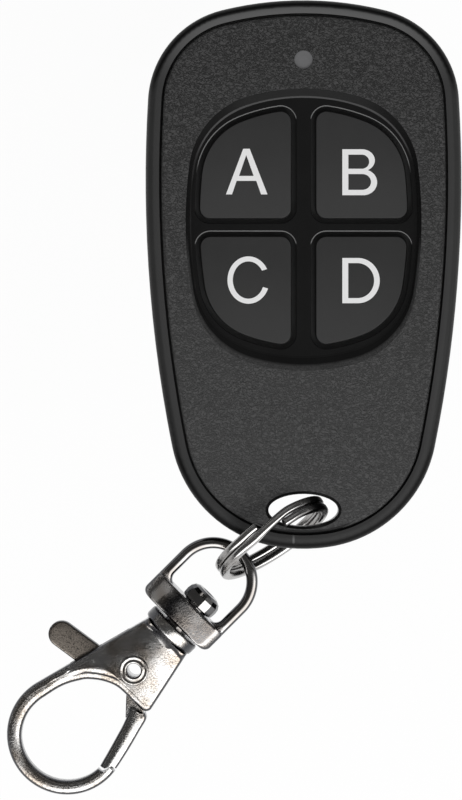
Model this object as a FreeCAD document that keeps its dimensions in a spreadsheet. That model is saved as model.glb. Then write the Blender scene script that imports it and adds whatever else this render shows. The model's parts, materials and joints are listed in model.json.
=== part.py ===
import FreeCAD, Part
import math
import os
import Sketcher
from FreeCAD import Vector

# A four-key transmitter fob on a split ring with a swivel lobster clasp.
# Millimetres. The fob lies on its back: +Z points up through the keys, +Y towards its
# indicator light, and the origin is the middle of the flat face that it rests on.

os.makedirs("parts", exist_ok=True)
doc = FreeCAD.newDocument("CloningRemote")

# Driving dimensions, one alias each
SIZES = {
    # Case outline: an egg of eight tangent arcs, seen from the keys' side
    "case_width": 37.4,
    "case_top": 32.5,
    "case_bottom": -32.5,
    "case_widest": 11.2,
    "case_top_radius": 40.0,
    "case_top_corner": "=case_width * 0.3075",
    "case_side_radius": 160.0,
    "case_bottom_corner": "=case_width * 0.4011",
    "case_bottom_radius": "=case_width * 0.5615",
    # Case section
    "case_height": 12.0,
    "crown_radius": 600.0,
    "upsweep_radius": 30.0,
    "upsweep_start": -16.0,
    "rim_width": 1.6,
    "rim_round": 1.3,
    "back_round": 3.0,
    "parting_gap": 0.25,
    "cover_seat": 9.6,
    "seat_ledge": 0.9,
    "rear_wall": 1.4,
    "cavity_bottom": -21.5,
    "cavity_corner": 8.0,
    "cavity_end_radius": 30.0,
    # Front cover
    "cover_round": 0.4,
    "cover_plate": 1.5,
    "cover_skirt": 1.3,
    "cover_hollow_bottom": -24.3,
    # Recess round the keys: its floor, and its brow where the slope would reach brow_height
    "recess_floor": 10.8,
    "floor_width": 26.8,
    "floor_top": 21.0,
    "floor_bottom": -9.8,
    "floor_end_radius": 21.5,
    "floor_corner": 9.2,
    "floor_side_radius": 54.0,
    "brow_height": 12.5,
    "brow_width": 28.4,
    "brow_top": 23.1,
    "brow_bottom": -12.3,
    "brow_end_radius": 23.5,
    "brow_corner": 10.6,
    "brow_side_radius": 55.0,
    "recess_widest": 6.5,
    # Key wells
    "well_width": 25.8,
    "well_top": 20.1,
    "well_bottom": -9.0,
    "well_end_radius": 20.4,
    "well_corner": 8.0,
    "well_side_radius": 53.0,
    "well_fillet": 1.8,
    "well_bevel": 0.12,
    "upright_bar": 1.78,
    "level_bar": 1.0,
    "level_bar_place": 5.58,
    # Keys
    "key_gap": 0.5,
    "key_drop": 0.1,
    "key_round": 0.2,
    "flange_reach": 0.8,
    "flange_thickness": 0.6,
    "flange_play": 0.1,
    "key_post_radius": 1.2,
    "key_post_play": 0.03,
    # Key-ring hole and indicator
    "hole_length": 8.3,
    "hole_width": 3.83,
    "hole_place": -27.9,
    "hole_bevel": 0.35,
    "hole_back_round": 1.0,
    "lens_radius": 1.1,
    "lens_place": 25.4,
    "lens_play": 0.03,
    "lens_sink": 0.12,
    "lens_flange_radius": 1.8,
    "lens_flange_thickness": 0.6,
    "lens_gap": 0.5,
    # Screws, their pillars in the rear case and their bosses under the cover
    "screw_side_place": 9.5,
    "screw_top_place": 22.5,
    "screw_bottom_place": -15.5,
    "screw_radius": 0.98,
    "screw_length": 7.0,
    "screw_head_radius": 1.75,
    "screw_head_height": 1.2,
    "screw_head_depth": 0.9,
    "screw_play": 0.02,
    "screw_clear": 0.25,
    "pillar_radius": 2.75,
    "boss_radius": 1.95,
    "boss_play": 0.2,
    "cross_width": 0.45,
    "cross_length": 1.9,
    "cross_depth": 0.7,
    # Circuit board
    "board_thickness": 1.0,
    "board_gap": 0.3,
    "post_radius": 1.2,
    "post_side_place": 13.0,
    "post_along_place": -6.0,
    "trace_width": 1.2,
    "trace_margin": 0.6,
    "trace_height": 0.05,
    "trace_break": 3.0,
    # Snap switches
    "switch_side": 6.0,
    "switch_housing_height": 1.7,
    "switch_floor": 0.4,
    "switch_bore": 2.1,
    "switch_cover_thickness": 0.2,
    "switch_cover_bore": 1.8,
    "plunger_radius": 1.7,
    "plunger_flange_radius": 1.95,
    "plunger_flange_thickness": 0.5,
    "plunger_stand": 0.5,
    "dome_radius": 1.9,
    "dome_thickness": 0.1,
    "dome_rise": 0.7,
    "switch_play": 0.05,
    # Chips
    "chip_length": 4.9,
    "chip_width": 3.9,
    "chip_height": 1.4,
    "lead_length": 1.0,
    "lead_width": 0.4,
    "lead_pitch": 1.27,
    "resonator_side": 5.0,
    "resonator_height": 1.4,
    "transistor_length": 2.9,
    "transistor_width": 1.3,
    "transistor_height": 1.0,
    "passive_length": 1.6,
    "passive_width": 0.8,
    "passive_height": 0.5,
    "passive_pitch": 2.4,
    "led_length": 1.6,
    "led_width": 0.8,
    "led_height": 0.6,
    # Coin cell and its contacts
    "cell_radius": 10.0,
    "cell_height": 3.2,
    "cell_place": 2.0,
    "can_wall": 0.25,
    "can_height": 2.9,
    "can_round": 0.5,
    "cap_radius": 8.7,
    "cell_play": 0.02,
    "clip_thickness": 0.2,
    "clip_width": 5.0,
    "clip_gap": 0.15,
    "clip_foot": 1.5,
    "clip_lift": 0.05,
    "contact_thickness": 0.15,
    "contact_width": 4.0,
    "contact_length": 13.0,
    "cell_fence_gap": 0.9,
    "cell_fence_wall": 0.8,
    "cell_fence_height": 1.8,
    # Split ring, standing on edge through the hole
    "ring_radius": 7.5,
    "strand_width": 1.1,
    "strand_height": 0.95,
    "strand_gap": 0.05,
    "strand_round": 0.2,
    "ring_jog": 25.0,
    "ring_jog_place": 84.0,
    "ring_x": -3.72,
    "ring_y": -31.25,
    "ring_z": 7.5,
    "ring_yaw": 33.45,
    "ring_tilt": 13.0,
    # Clasp: local X across, towards the gate, and local Y along, towards the ring
    "clasp_x": -15.83,
    "clasp_y": -42.47,
    "clasp_z": 3.58,
    "clasp_yaw": -45.0,
    "clasp_tilt": 4.4,
    # Swivel eye
    "eye_width": 10.6,
    "eye_shift": -0.6,
    "eye_wire": 1.4,
    "eye_wire_height": 1.8,
    "eye_leg_end": 7.9,
    "strap_start": 1.25,
    "strap_length": 3.05,
    "strap_depth": 5.4,
    "strap_round": 0.9,
    "eye_round": 0.55,
    # Swivel rivet
    "swivel_radius": 1.6,
    "swivel_play": 0.05,
    "swivel_end_play": 0.1,
    "swivel_head_radius": 2.3,
    "swivel_head_height": 2.25,
    "swivel_head_round": 0.9,
    "swivel_sink": 2.6,
    "swivel_fit": 0.02,
    # Hook
    "neck_radius": 3.5,
    "neck_start": -0.5,
    "neck_end": 1.0,
    "hook_body_height": 4.6,
    "hook_loop_height": 2.9,
    "shoulder_left": 2.98,
    "shoulder_right": 3.25,
    "shoulder_place": -0.5,
    "loop_centre_place": -17.46,
    "loop_radius": 7.18,
    "bight_radius": 5.46,
    "throat_radius": 5.45,
    "throat_x": 1.1,
    "throat_place": -14.4,
    "tip_x": 4.12,
    "tip_place": -8.1,
    "tip_radius": 0.8,
    "nose_inner_x": 5.1,
    "nose_inner_place": -17.97,
    "nose_outer_x": 7.9,
    "nose_outer_place": -16.0,
    "hook_body_end": -11.6,
    "hook_round": 0.6,
    "slot_height": 1.7,
    "slot_start": -3.2,
    "slot_end": -11.2,
    # Gate
    "pivot_x": 0.19,
    "pivot_place": -6.17,
    "gate_plate": 1.5,
    "gate_arm_height": 2.8,
    "gate_hub_radius": 2.5,
    "arm_root_x": 4.15,
    "arm_root_place": -9.75,
    "arm_bend_x": 5.2,
    "arm_bend_place": -12.4,
    "arm_end_x": 6.5,
    "arm_end_place": -17.6,
    "nose_gap": 0.5,
    "arm_half": 1.05,
    "tab_bend_x": -4.2,
    "tab_bend_place": -8.68,
    "tab_end_x": -8.95,
    "tab_end_place": -9.4,
    "tab_half": 1.57,
    "gate_play": 0.05,
    # Gate rivet and spring
    "rivet_radius": 1.2,
    "rivet_bore": 0.87,
    "rivet_flange_radius": 1.76,
    "rivet_flange_height": 0.25,
    "rivet_play": 0.03,
    "spring_wire": 0.35,
    "spring_radius": 1.65,
    "spring_turn": 300.0,
    "spring_pocket_radius": 2.1,
    "spring_pocket_depth": 1.0,
}

sheet = doc.addObject("Spreadsheet::Sheet", "Sizes")
for row, (alias, number) in enumerate(SIZES.items(), start=1):
    sheet.set(f"A{row}", str(number))
    sheet.setAlias(f"A{row}", alias)
doc.recompute()


# Helpers that bind what they make to the sizes

def value(text):
    """The number that an expression on the sizes comes to."""
    return float(sheet.evalExpression(str(text)))


def bind(item, sizes):
    """Binds each named property of an item to an expression."""
    for name, text in sizes.items():
        item.setExpression(name, str(text))
    return item


def body(label):
    made = doc.addObject("PartDesign::Body", label)
    made.Label = label
    return made


def turned(text_x, text_y, text_z, yaw, roll):
    """A placement turned about X by roll and then about Z by yaw."""
    base = f"create(<<vector>>; {text_x}; {text_y}; {text_z})"
    turn = f"create(<<rotation>>; {yaw}; 0; {roll})"
    return f"create(<<placement>>; {base}; {turn})"


class Drawing:
    """A sketch in a body whose dimensions are bound to the sizes."""

    def __init__(self, owner, name, height="0", plane="XY_Plane"):
        self.sketch = owner.newObject("Sketcher::SketchObject", f"{owner.Name}_{name}")
        support = [item for item in owner.Origin.OriginFeatures if item.Role == plane][0]
        self.sketch.AttachmentSupport = [(support, "")]
        self.sketch.MapMode = "FlatFace"
        self.sketch.setExpression(".AttachmentOffset.Base.z", str(height))

    def add(self, shape):
        return self.sketch.addGeometry(shape)

    def relate(self, kind, *picks):
        self.sketch.addConstraint(Sketcher.Constraint(kind, *picks))

    def measure(self, kind, text, *picks):
        index = self.sketch.addConstraint(Sketcher.Constraint(kind, *picks, value(text)))
        name = f"size{index}"
        self.sketch.renameConstraint(index, name)
        self.sketch.setExpression(f"Constraints.{name}", str(text))

    def place(self, pick, text_x, text_y):
        """Holds a point at a place measured from the origin."""
        self.measure("DistanceX", text_x, -1, 1, *pick)
        self.measure("DistanceY", text_y, -1, 1, *pick)

    def circle(self, radius, text_x="0", text_y="0"):
        centre = Vector(value(text_x), value(text_y), 0)
        index = self.add(Part.Circle(centre, Vector(0, 0, 1), value(radius)))
        self.measure("Radius", radius, index)
        self.place((index, 3), text_x, text_y)

    def ellipse(self, length, width, text_y):
        """An ellipse with its length across, centred on the long axis of the case."""
        centre = Vector(0, value(text_y), 0)
        end = centre + Vector(value(length) / 2, 0, 0)
        side = centre + Vector(0, value(width) / 2, 0)
        index = self.add(Part.Ellipse(end, side, centre))
        self.sketch.exposeInternalGeometry(index)
        self.relate("Horizontal", index + 1)
        self.measure("Distance", length, index + 1)
        self.measure("Distance", width, index + 2)
        self.place((index, 3), "0", text_y)

    def rectangle(self, low_x, low_y, high_x, high_y):
        left, right = value(low_x), value(high_x)
        bottom, top = value(low_y), value(high_y)
        corners = [Vector(*corner) for corner in ((left, bottom), (right, bottom), (right, top), (left, top))]
        sides = [self.add(Part.LineSegment(corners[i], corners[(i + 1) % 4])) for i in range(4)]
        for i in range(4):
            self.relate("Coincident", sides[i], 2, sides[(i + 1) % 4], 1)
            self.relate("Horizontal" if i % 2 == 0 else "Vertical", sides[i])
        self.place((sides[0], 1), low_x, low_y)
        self.place((sides[2], 1), high_x, high_y)

    def polygon(self, corners):
        """A closed outline of straight sides through corners given as expressions."""
        points = [Vector(value(x), value(y), 0) for x, y in corners]
        count = len(points)
        sides = [self.add(Part.LineSegment(points[i], points[(i + 1) % count])) for i in range(count)]
        for i in range(count):
            self.relate("Coincident", sides[i], 2, sides[(i + 1) % count], 1)
            self.place((sides[i], 1), *corners[i])

    def chain(self, pieces):
        """Arcs (centre, start, end) and lines (None, start, end), each tangent to the next."""
        ends = []
        for centre, start, end in pieces:
            if centre is None:
                ends.append((self.add(Part.LineSegment(start, end)), 1, 2))
                continue
            turn = (start - centre).cross(end - centre).z
            first, last = (start, end) if turn > 0 else (end, start)
            circle = Part.Circle(centre, Vector(0, 0, 1), (start - centre).Length)
            angles = [math.atan2((point - centre).y, (point - centre).x) for point in (first, last)]
            index = self.add(Part.ArcOfCircle(circle, *angles))
            ends.append((index, 1, 2) if turn > 0 else (index, 2, 1))
        for here, following in zip(ends, ends[1:] + ends[:1]):
            self.relate("Tangent", here[0], here[2], following[0], following[1])
        return [index for index, start, end in ends]


def shaped(owner, kind, name, drawing, **settings):
    """A PartDesign feature made from a drawing."""
    feature = owner.newObject(f"PartDesign::{kind}", f"{owner.Name}_{name}")
    feature.Profile = drawing.sketch
    for key, setting in settings.items():
        setattr(feature, key, setting)
    return feature


def pad(owner, name, drawing, length, **settings):
    return bind(shaped(owner, "Pad", name, drawing, **settings), {"Length": length})


def pocket(owner, name, drawing, length, **settings):
    return bind(shaped(owner, "Pocket", name, drawing, **settings), {"Length": length})


def edges(owner, wanted):
    """The names of the edges of a body that a test picks."""
    doc.recompute()
    found = enumerate(owner.Tip.Shape.Edges, start=1)
    return [f"Edge{index}" for index, edge in found if wanted(edge)]


def dress(owner, kind, name, wanted, size):
    """A fillet (Radius) or chamfer (Size) on the edges that a test picks."""
    base, names = owner.Tip, edges(owner, wanted)
    feature = owner.newObject(f"PartDesign::{kind}", f"{owner.Name}_{name}")
    feature.Base = (base, names)
    return bind(feature, {"Radius" if kind == "Fillet" else "Size": size})


def solid(kind, name, sizes, place=("0", "0", "0")):
    """A Part primitive bound to the sizes and set at a place."""
    made = doc.addObject(f"Part::{kind}", name)
    bind(made, sizes)
    return bind(made, dict(zip(("Placement.Base.x", "Placement.Base.y", "Placement.Base.z"), place)))


def box(name, length, width, height, text_x, text_y, text_z):
    """A box centred on x and y, standing on z."""
    place = (f"{text_x} - ({length}) / 2", f"{text_y} - ({width}) / 2", text_z)
    return solid("Box", name, {"Length": length, "Width": width, "Height": height}, place)


def rod(name, radius, height, text_x, text_y, text_z):
    return solid("Cylinder", name, {"Radius": radius, "Height": height}, (text_x, text_y, text_z))


def cut(name, base, tool):
    made = doc.addObject("Part::Cut", name)
    made.Base, made.Tool = base, tool
    return made


def fuse(name, *items):
    made = doc.addObject("Part::MultiFuse", name)
    made.Shapes = list(items)
    return made


def group(name, items):
    made = doc.addObject("Part::Compound", name)
    made.Links = list(items)
    return made


# Outlines: an egg of eight tangent arcs, and the quarter of one that two bars cut off

def outline(prefix, widest, top_end, bottom_end, top_corner, bottom_corner, **changes):
    made = {
        "half": f"Sizes.{prefix}_width / 2",
        "top": f"Sizes.{prefix}_top",
        "bottom": f"Sizes.{prefix}_bottom",
        "widest": f"Sizes.{widest}",
        "side": f"Sizes.{prefix}_side_radius",
        "top_end": f"Sizes.{top_end}",
        "bottom_end": f"Sizes.{bottom_end}",
        "top_corner": f"Sizes.{top_corner}",
        "bottom_corner": f"Sizes.{bottom_corner}",
    }
    made.update(changes)
    return made


CASE = outline(
    "case", "case_widest", "case_top_radius", "case_bottom_radius", "case_top_corner", "case_bottom_corner"
)
FLOOR, BROW, WELL = [
    outline(name, "recess_widest", *2 * (f"{name}_end_radius",), *2 * (f"{name}_corner",))
    for name in ("floor", "brow", "well")
]


def shortened(bottom):
    """The case outline cut short of the key-ring hole, for the hollow and what lies in it."""
    end = {"bottom": bottom, "bottom_end": "Sizes.cavity_end_radius", "bottom_corner": "Sizes.cavity_corner"}
    return {**CASE, **end}


def meeting(first, first_reach, second, second_reach, upward):
    """Where two circles meet, the upper or the lower of the two points."""
    across = second - first
    along = (first_reach ** 2 - second_reach ** 2 + across.Length ** 2) / (2 * across.Length)
    aside = math.sqrt(first_reach ** 2 - along ** 2)
    across.normalize()
    offset = Vector(-across.y, across.x, 0) * aside
    points = [first + across * along + offset, first + across * along - offset]
    return (max if upward else min)(points, key=lambda point: point.y)


def away(centre, through, radius):
    """The point of a circle that lies beyond another point."""
    direction = through - centre
    direction.normalize()
    return centre + direction * radius


class Egg:
    """The arcs' centres and radii on the +X side, worked out from an outline and an inset."""

    def __init__(self, sizes, inset="0"):
        self.texts = {
            "end_up": f"{sizes['top_end']} - ({inset})",
            "end_down": f"{sizes['bottom_end']} - ({inset})",
            "corner_up": f"{sizes['top_corner']} - ({inset})",
            "corner_down": f"{sizes['bottom_corner']} - ({inset})",
            "side": f"{sizes['side']} - ({inset})",
            "centre_up": f"{sizes['top']} - {sizes['top_end']}",
            "centre_down": f"{sizes['bottom']} + {sizes['bottom_end']}",
            "centre_side": f"{sizes['half']} - {sizes['side']}",
            "widest": sizes["widest"],
        }
        number = {name: value(text) for name, text in self.texts.items()}
        self.radius = number
        self.side = Vector(number["centre_side"], number["widest"], 0)
        self.end = {+1: Vector(0, number["centre_up"], 0), -1: Vector(0, number["centre_down"], 0)}
        self.corner = {}
        for row, word in ((+1, "up"), (-1, "down")):
            reach = number[f"end_{word}"] - number[f"corner_{word}"]
            side_reach = number["side"] - number[f"corner_{word}"]
            self.corner[row] = meeting(self.end[row], reach, self.side, side_reach, row > 0)

    def joints(self, row):
        """Where the corner arc meets the end arc and the side arc."""
        word = "up" if row > 0 else "down"
        at_end = away(self.end[row], self.corner[row], self.radius[f"end_{word}"])
        at_side = away(self.side, self.corner[row], self.radius["side"])
        return at_end, at_side


def flipped(point, hand=-1):
    return Vector(hand * point.x, point.y, 0)


def draw_egg(drawing, sizes, inset="0"):
    egg = Egg(sizes, inset)
    up_end, up_side = egg.joints(+1)
    down_end, down_side = egg.joints(-1)
    pieces = [
        (egg.side, down_side, up_side),
        (egg.corner[+1], up_side, up_end),
        (egg.end[+1], up_end, flipped(up_end)),
        (flipped(egg.corner[+1]), flipped(up_end), flipped(up_side)),
        (flipped(egg.side), flipped(up_side), flipped(down_side)),
        (flipped(egg.corner[-1]), flipped(down_side), flipped(down_end)),
        (egg.end[-1], flipped(down_end), down_end),
        (egg.corner[-1], down_end, down_side),
    ]
    names = ("side", "corner_up", "end_up", "corner_up", "side", "corner_down", "end_down", "corner_down")
    arcs = drawing.chain(pieces)
    for index, name in zip(arcs, names):
        drawing.measure("Radius", egg.texts[name], index)
    drawing.place((arcs[0], 3), egg.texts["centre_side"], egg.texts["widest"])
    drawing.place((arcs[4], 3), f"-({egg.texts['centre_side']})", egg.texts["widest"])
    drawing.place((arcs[2], 3), "0", egg.texts["centre_up"])
    drawing.place((arcs[6], 3), "0", egg.texts["centre_down"])


def draw_quarter(drawing, hand, row, inset):
    """One key well: the egg's end, corner and side, closed by the two bars, every corner round."""
    egg = Egg(WELL, inset)
    word = "up" if row > 0 else "down"
    bar_x = f"Sizes.upright_bar / 2 + ({inset})"
    bar_y = f"Sizes.level_bar_place + {row} * (Sizes.level_bar / 2 + ({inset}))"
    fillet = f"Sizes.well_fillet - ({inset})"
    line_x, line_y, round_size = value(bar_x), value(bar_y), value(fillet)
    end_reach = egg.radius[f"end_{word}"] - round_size
    side_reach = egg.radius["side"] - round_size
    lift = math.sqrt(end_reach ** 2 - (line_x + round_size) ** 2)
    end_round = Vector(line_x + round_size, egg.end[row].y + row * lift, 0)
    level = line_y + row * round_size
    run = math.sqrt(side_reach ** 2 - (level - egg.side.y) ** 2)
    side_round = Vector(egg.side.x + run, level, 0)
    inner_round = Vector(line_x + round_size, level, 0)
    at_end, at_side = egg.joints(row)
    pieces = [
        (None, Vector(line_x, inner_round.y, 0), Vector(line_x, end_round.y, 0)),
        (end_round, Vector(line_x, end_round.y, 0), away(egg.end[row], end_round, egg.radius[f"end_{word}"])),
        (egg.end[row], away(egg.end[row], end_round, egg.radius[f"end_{word}"]), at_end),
        (egg.corner[row], at_end, at_side),
        (egg.side, at_side, away(egg.side, side_round, egg.radius["side"])),
        (side_round, away(egg.side, side_round, egg.radius["side"]), Vector(side_round.x, line_y, 0)),
        (None, Vector(side_round.x, line_y, 0), Vector(inner_round.x, line_y, 0)),
        (inner_round, Vector(inner_round.x, line_y, 0), Vector(line_x, inner_round.y, 0)),
    ]
    placed = [
        (None if centre is None else flipped(centre, hand), flipped(start, hand), flipped(end, hand))
        for centre, start, end in pieces
    ]
    arcs = drawing.chain(placed)
    for index, text in (
        (arcs[1], fillet),
        (arcs[2], egg.texts[f"end_{word}"]),
        (arcs[3], egg.texts[f"corner_{word}"]),
        (arcs[4], egg.texts["side"]),
        (arcs[5], fillet),
        (arcs[7], fillet),
    ):
        drawing.measure("Radius", text, index)
    drawing.relate("Vertical", arcs[0])
    drawing.relate("Horizontal", arcs[6])
    drawing.place((arcs[2], 3), "0", egg.texts[f"centre_{word}"])
    drawing.place((arcs[4], 3), f"{hand} * ({egg.texts['centre_side']})", egg.texts["widest"])
    drawing.measure("DistanceX", f"{hand} * ({bar_x})", -1, 1, arcs[0], 1)
    drawing.measure("DistanceY", bar_y, -1, 1, arcs[6], 1)


def draw_cap(drawing, centre_x, centre_y, radius, start_x, end_x, edge_y):
    """The region between an arc above or below its centre and a straight edge beyond it."""
    middle = Vector(value(centre_x), value(centre_y), 0)
    side = 1 if value(edge_y) > value(centre_y) else -1
    reach = value(radius)
    ends = []
    for text in (start_x, end_x):
        run = value(text) - middle.x
        ends.append(Vector(value(text), middle.y + side * math.sqrt(reach ** 2 - run ** 2), 0))
    peak = Vector((ends[0].x + ends[1].x) / 2, 0, 0)
    peak.y = middle.y + side * math.sqrt(reach ** 2 - (peak.x - middle.x) ** 2)
    arc = drawing.add(Part.Arc(ends[0], peak, ends[1]))
    first, last = (2, 1) if side > 0 else (1, 2)
    height = value(edge_y)
    right = drawing.add(Part.LineSegment(ends[1], Vector(ends[1].x, height, 0)))
    far = drawing.add(Part.LineSegment(Vector(ends[1].x, height, 0), Vector(ends[0].x, height, 0)))
    left = drawing.add(Part.LineSegment(Vector(ends[0].x, height, 0), ends[0]))
    drawing.relate("Coincident", arc, last, right, 1)
    drawing.relate("Coincident", right, 2, far, 1)
    drawing.relate("Coincident", far, 2, left, 1)
    drawing.relate("Coincident", left, 2, arc, first)
    drawing.relate("Vertical", right)
    drawing.relate("Vertical", left)
    drawing.relate("Horizontal", far)
    drawing.measure("Radius", radius, arc)
    drawing.place((arc, 3), centre_x, centre_y)
    drawing.measure("DistanceX", start_x, -1, 1, far, 2)
    drawing.place((far, 1), end_x, edge_y)


# Heights and places that several pieces share

OVERSHOOT = "5"
CAVITY_INSET = "Sizes.rim_width + Sizes.seat_ledge"
COVER_INSET = "Sizes.rim_width + Sizes.parting_gap"
BOARD_INSET = f"{CAVITY_INSET} + Sizes.board_gap"
CELL_LOW = "Sizes.rear_wall + Sizes.clip_lift + Sizes.clip_thickness"
BOARD_LOW = f"{CELL_LOW} + Sizes.cell_height + Sizes.contact_thickness"
BOARD_TOP = f"{BOARD_LOW} + Sizes.board_thickness"
PLATE_LOW = "Sizes.case_height - Sizes.cover_plate"
FLANGE_TOP = "Sizes.cover_seat - Sizes.flange_play"
FLANGE_LOW = f"{FLANGE_TOP} - Sizes.flange_thickness"
KEY_TOP = "Sizes.recess_floor - Sizes.key_drop"
SWITCH_TOP = f"{BOARD_TOP} + Sizes.switch_housing_height + Sizes.switch_cover_thickness"
PLUNGER_TOP = f"{SWITCH_TOP} + Sizes.plunger_stand"
SCREWS = [
    ("Sizes.screw_side_place", "Sizes.screw_top_place"),
    ("-Sizes.screw_side_place", "Sizes.screw_top_place"),
    ("0", "Sizes.screw_bottom_place"),
]
KEYS = {"a": (-1, +1), "b": (+1, +1), "c": (-1, -1), "d": (+1, -1)}


def key_centre(hand, row):
    """The middle of a key well, where its switch stands."""
    end = "Sizes.well_top" if row > 0 else "Sizes.well_bottom"
    text_x = f"{hand} * (Sizes.upright_bar + Sizes.well_width) / 4"
    text_y = f"(Sizes.level_bar_place + {row} * Sizes.level_bar / 2 + {end}) / 2"
    return text_x, text_y


def cut_crown(owner):
    """Rounds the front lengthwise: a wide arc from end to end of the case."""
    drawing = Drawing(owner, "crown_sketch", plane="YZ_Plane")
    reach = f"Sizes.case_top + {OVERSHOOT}"
    draw_cap(
        drawing, "0", "Sizes.case_height - Sizes.crown_radius", "Sizes.crown_radius",
        f"-({reach})", reach, f"Sizes.case_height + {OVERSHOOT}",
    )
    pocket(owner, "crown", drawing, f"2 * Sizes.case_width", SideType="Symmetric")


def within(edge, low, high):
    """True if the whole edge lies between two heights and isn't upright."""
    box_here = edge.BoundBox
    return box_here.ZMin > low and box_here.ZMax < high


# Rear case: the tub that holds the board, with the smooth rim that shows round the cover

rear = body("rear_case")
drawing = Drawing(rear, "outline")
draw_egg(drawing, CASE)
pad(rear, "block", drawing, "Sizes.case_height")
cut_crown(rear)
drawing = Drawing(rear, "upsweep_sketch", plane="YZ_Plane")
draw_cap(
    drawing, "Sizes.upsweep_start", "Sizes.upsweep_radius", "Sizes.upsweep_radius",
    f"Sizes.case_bottom - {OVERSHOOT}", "Sizes.upsweep_start", f"-{OVERSHOOT}",
)
pocket(rear, "upsweep", drawing, "2 * Sizes.case_width", SideType="Symmetric")
middle_height = SIZES["case_height"] / 2
dress(rear, "Fillet", "rim_rounding", lambda edge: within(edge, middle_height, 99), "Sizes.rim_round")
dress(rear, "Fillet", "back_rounding",
      lambda edge: within(edge, -1, middle_height) and edge.BoundBox.YLength > 0.01, "Sizes.back_round")
drawing = Drawing(rear, "cover_seat_sketch", "Sizes.case_height")
draw_egg(drawing, CASE, "Sizes.rim_width")
pocket(rear, "cover_seat", drawing, "Sizes.case_height - Sizes.cover_seat")
drawing = Drawing(rear, "cavity_sketch", "Sizes.case_height")
draw_egg(drawing, shortened("Sizes.cavity_bottom"), CAVITY_INSET)
pocket(rear, "cavity", drawing, "Sizes.case_height - Sizes.rear_wall")
drawing = Drawing(rear, "pillar_sketch", "Sizes.rear_wall / 2")
for screw_x, screw_y in SCREWS:
    drawing.circle("Sizes.pillar_radius", screw_x, screw_y)
for hand in (-1, +1):
    drawing.circle("Sizes.post_radius", f"{hand} * Sizes.post_side_place", "Sizes.post_along_place")
pad(rear, "pillars", drawing, f"{BOARD_LOW} - Sizes.rear_wall / 2")
drawing = Drawing(rear, "fence_sketch", "Sizes.rear_wall / 2")
fence_radius = "Sizes.cell_radius + Sizes.cell_fence_gap"
drawing.circle(fence_radius, "0", "Sizes.cell_place")
drawing.circle(f"{fence_radius} + Sizes.cell_fence_wall", "0", "Sizes.cell_place")
pad(rear, "cell_fence", drawing, "Sizes.rear_wall / 2 + Sizes.cell_fence_height")
drawing = Drawing(rear, "head_sketch")
for screw_x, screw_y in SCREWS:
    drawing.circle("Sizes.screw_head_radius + Sizes.screw_clear", screw_x, screw_y)
HEAD_SEAT = "Sizes.screw_head_depth + Sizes.screw_head_height"
pocket(rear, "head_wells", drawing, HEAD_SEAT, Reversed=True)
drawing = Drawing(rear, "shank_sketch")
for screw_x, screw_y in SCREWS:
    drawing.circle("Sizes.screw_radius + Sizes.screw_clear / 2", screw_x, screw_y)
pocket(rear, "shank_holes", drawing, BOARD_TOP, Reversed=True)
drawing = Drawing(rear, "ring_hole_sketch", "Sizes.case_height")
drawing.ellipse("Sizes.hole_length", "Sizes.hole_width", "Sizes.hole_place")
pocket(rear, "ring_hole", drawing, f"Sizes.case_height + {OVERSHOOT}")


def round_hole(low, high):
    """Picks the rim of the key-ring hole between two heights."""
    def wanted(edge):
        limits = edge.BoundBox
        near = abs(limits.YMin + limits.YMax - 2 * value("Sizes.hole_place")) < 0.3
        wide = abs(limits.XLength - value("Sizes.hole_length")) < 0.3
        return near and wide and low < limits.ZMin and limits.ZMax < high
    return wanted


dress(rear, "Fillet", "ring_hole_rounding", round_hole(-1, SIZES["case_height"] / 2), "Sizes.hole_back_round")


# Front cover: the textured face, with the recess, the key wells and the screw bosses

cover = body("front_cover")
drawing = Drawing(cover, "outline", "Sizes.cover_seat")
draw_egg(drawing, CASE, COVER_INSET)
pad(cover, "block", drawing, "Sizes.case_height - Sizes.cover_seat")
cut_crown(cover)
above_seat = value("Sizes.cover_seat + (Sizes.case_height - Sizes.cover_seat) / 4")
dress(cover, "Fillet", "edge_rounding", lambda edge: within(edge, above_seat, 99), "Sizes.cover_round")
floor = Drawing(cover, "recess_floor_sketch", "Sizes.recess_floor")
draw_egg(floor, FLOOR)
brow = Drawing(cover, "recess_brow_sketch", "Sizes.brow_height")
draw_egg(brow, BROW)
recess = cover.newObject("PartDesign::SubtractiveLoft", "front_cover_recess")
recess.Profile = floor.sketch
recess.Sections = [brow.sketch]
recess.Ruled = True
for name, (hand, row) in KEYS.items():
    drawing = Drawing(cover, f"well_{name}_sketch", "Sizes.recess_floor")
    draw_quarter(drawing, hand, row, "0")
    pocket(cover, f"well_{name}", drawing, f"Sizes.recess_floor - Sizes.cover_seat + {OVERSHOOT}")
drawing = Drawing(cover, "lens_hole_sketch", "Sizes.case_height")
drawing.circle("Sizes.lens_radius + Sizes.lens_play", "0", "Sizes.lens_place")
pocket(cover, "lens_hole", drawing, f"Sizes.case_height - Sizes.cover_seat + {OVERSHOOT}")
drawing = Drawing(cover, "ring_hole_sketch", "Sizes.case_height")
drawing.ellipse("Sizes.hole_length", "Sizes.hole_width", "Sizes.hole_place")
pocket(cover, "ring_hole", drawing, f"Sizes.case_height - Sizes.cover_seat + {OVERSHOOT}")
hollow = Drawing(cover, "hollow_sketch", "Sizes.cover_seat")
draw_egg(hollow, shortened("Sizes.cover_hollow_bottom"), f"{COVER_INSET} + Sizes.cover_skirt")
draw_egg(hollow, FLOOR, "-(Sizes.recess_floor - Sizes.cover_seat)")
pocket(cover, "hollow", hollow, f"{PLATE_LOW} - Sizes.cover_seat", Reversed=True)
drawing = Drawing(cover, "boss_sketch", f"{PLATE_LOW} + Sizes.cover_plate / 4")
for screw_x, screw_y in SCREWS:
    drawing.circle("Sizes.boss_radius", screw_x, screw_y)
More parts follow.
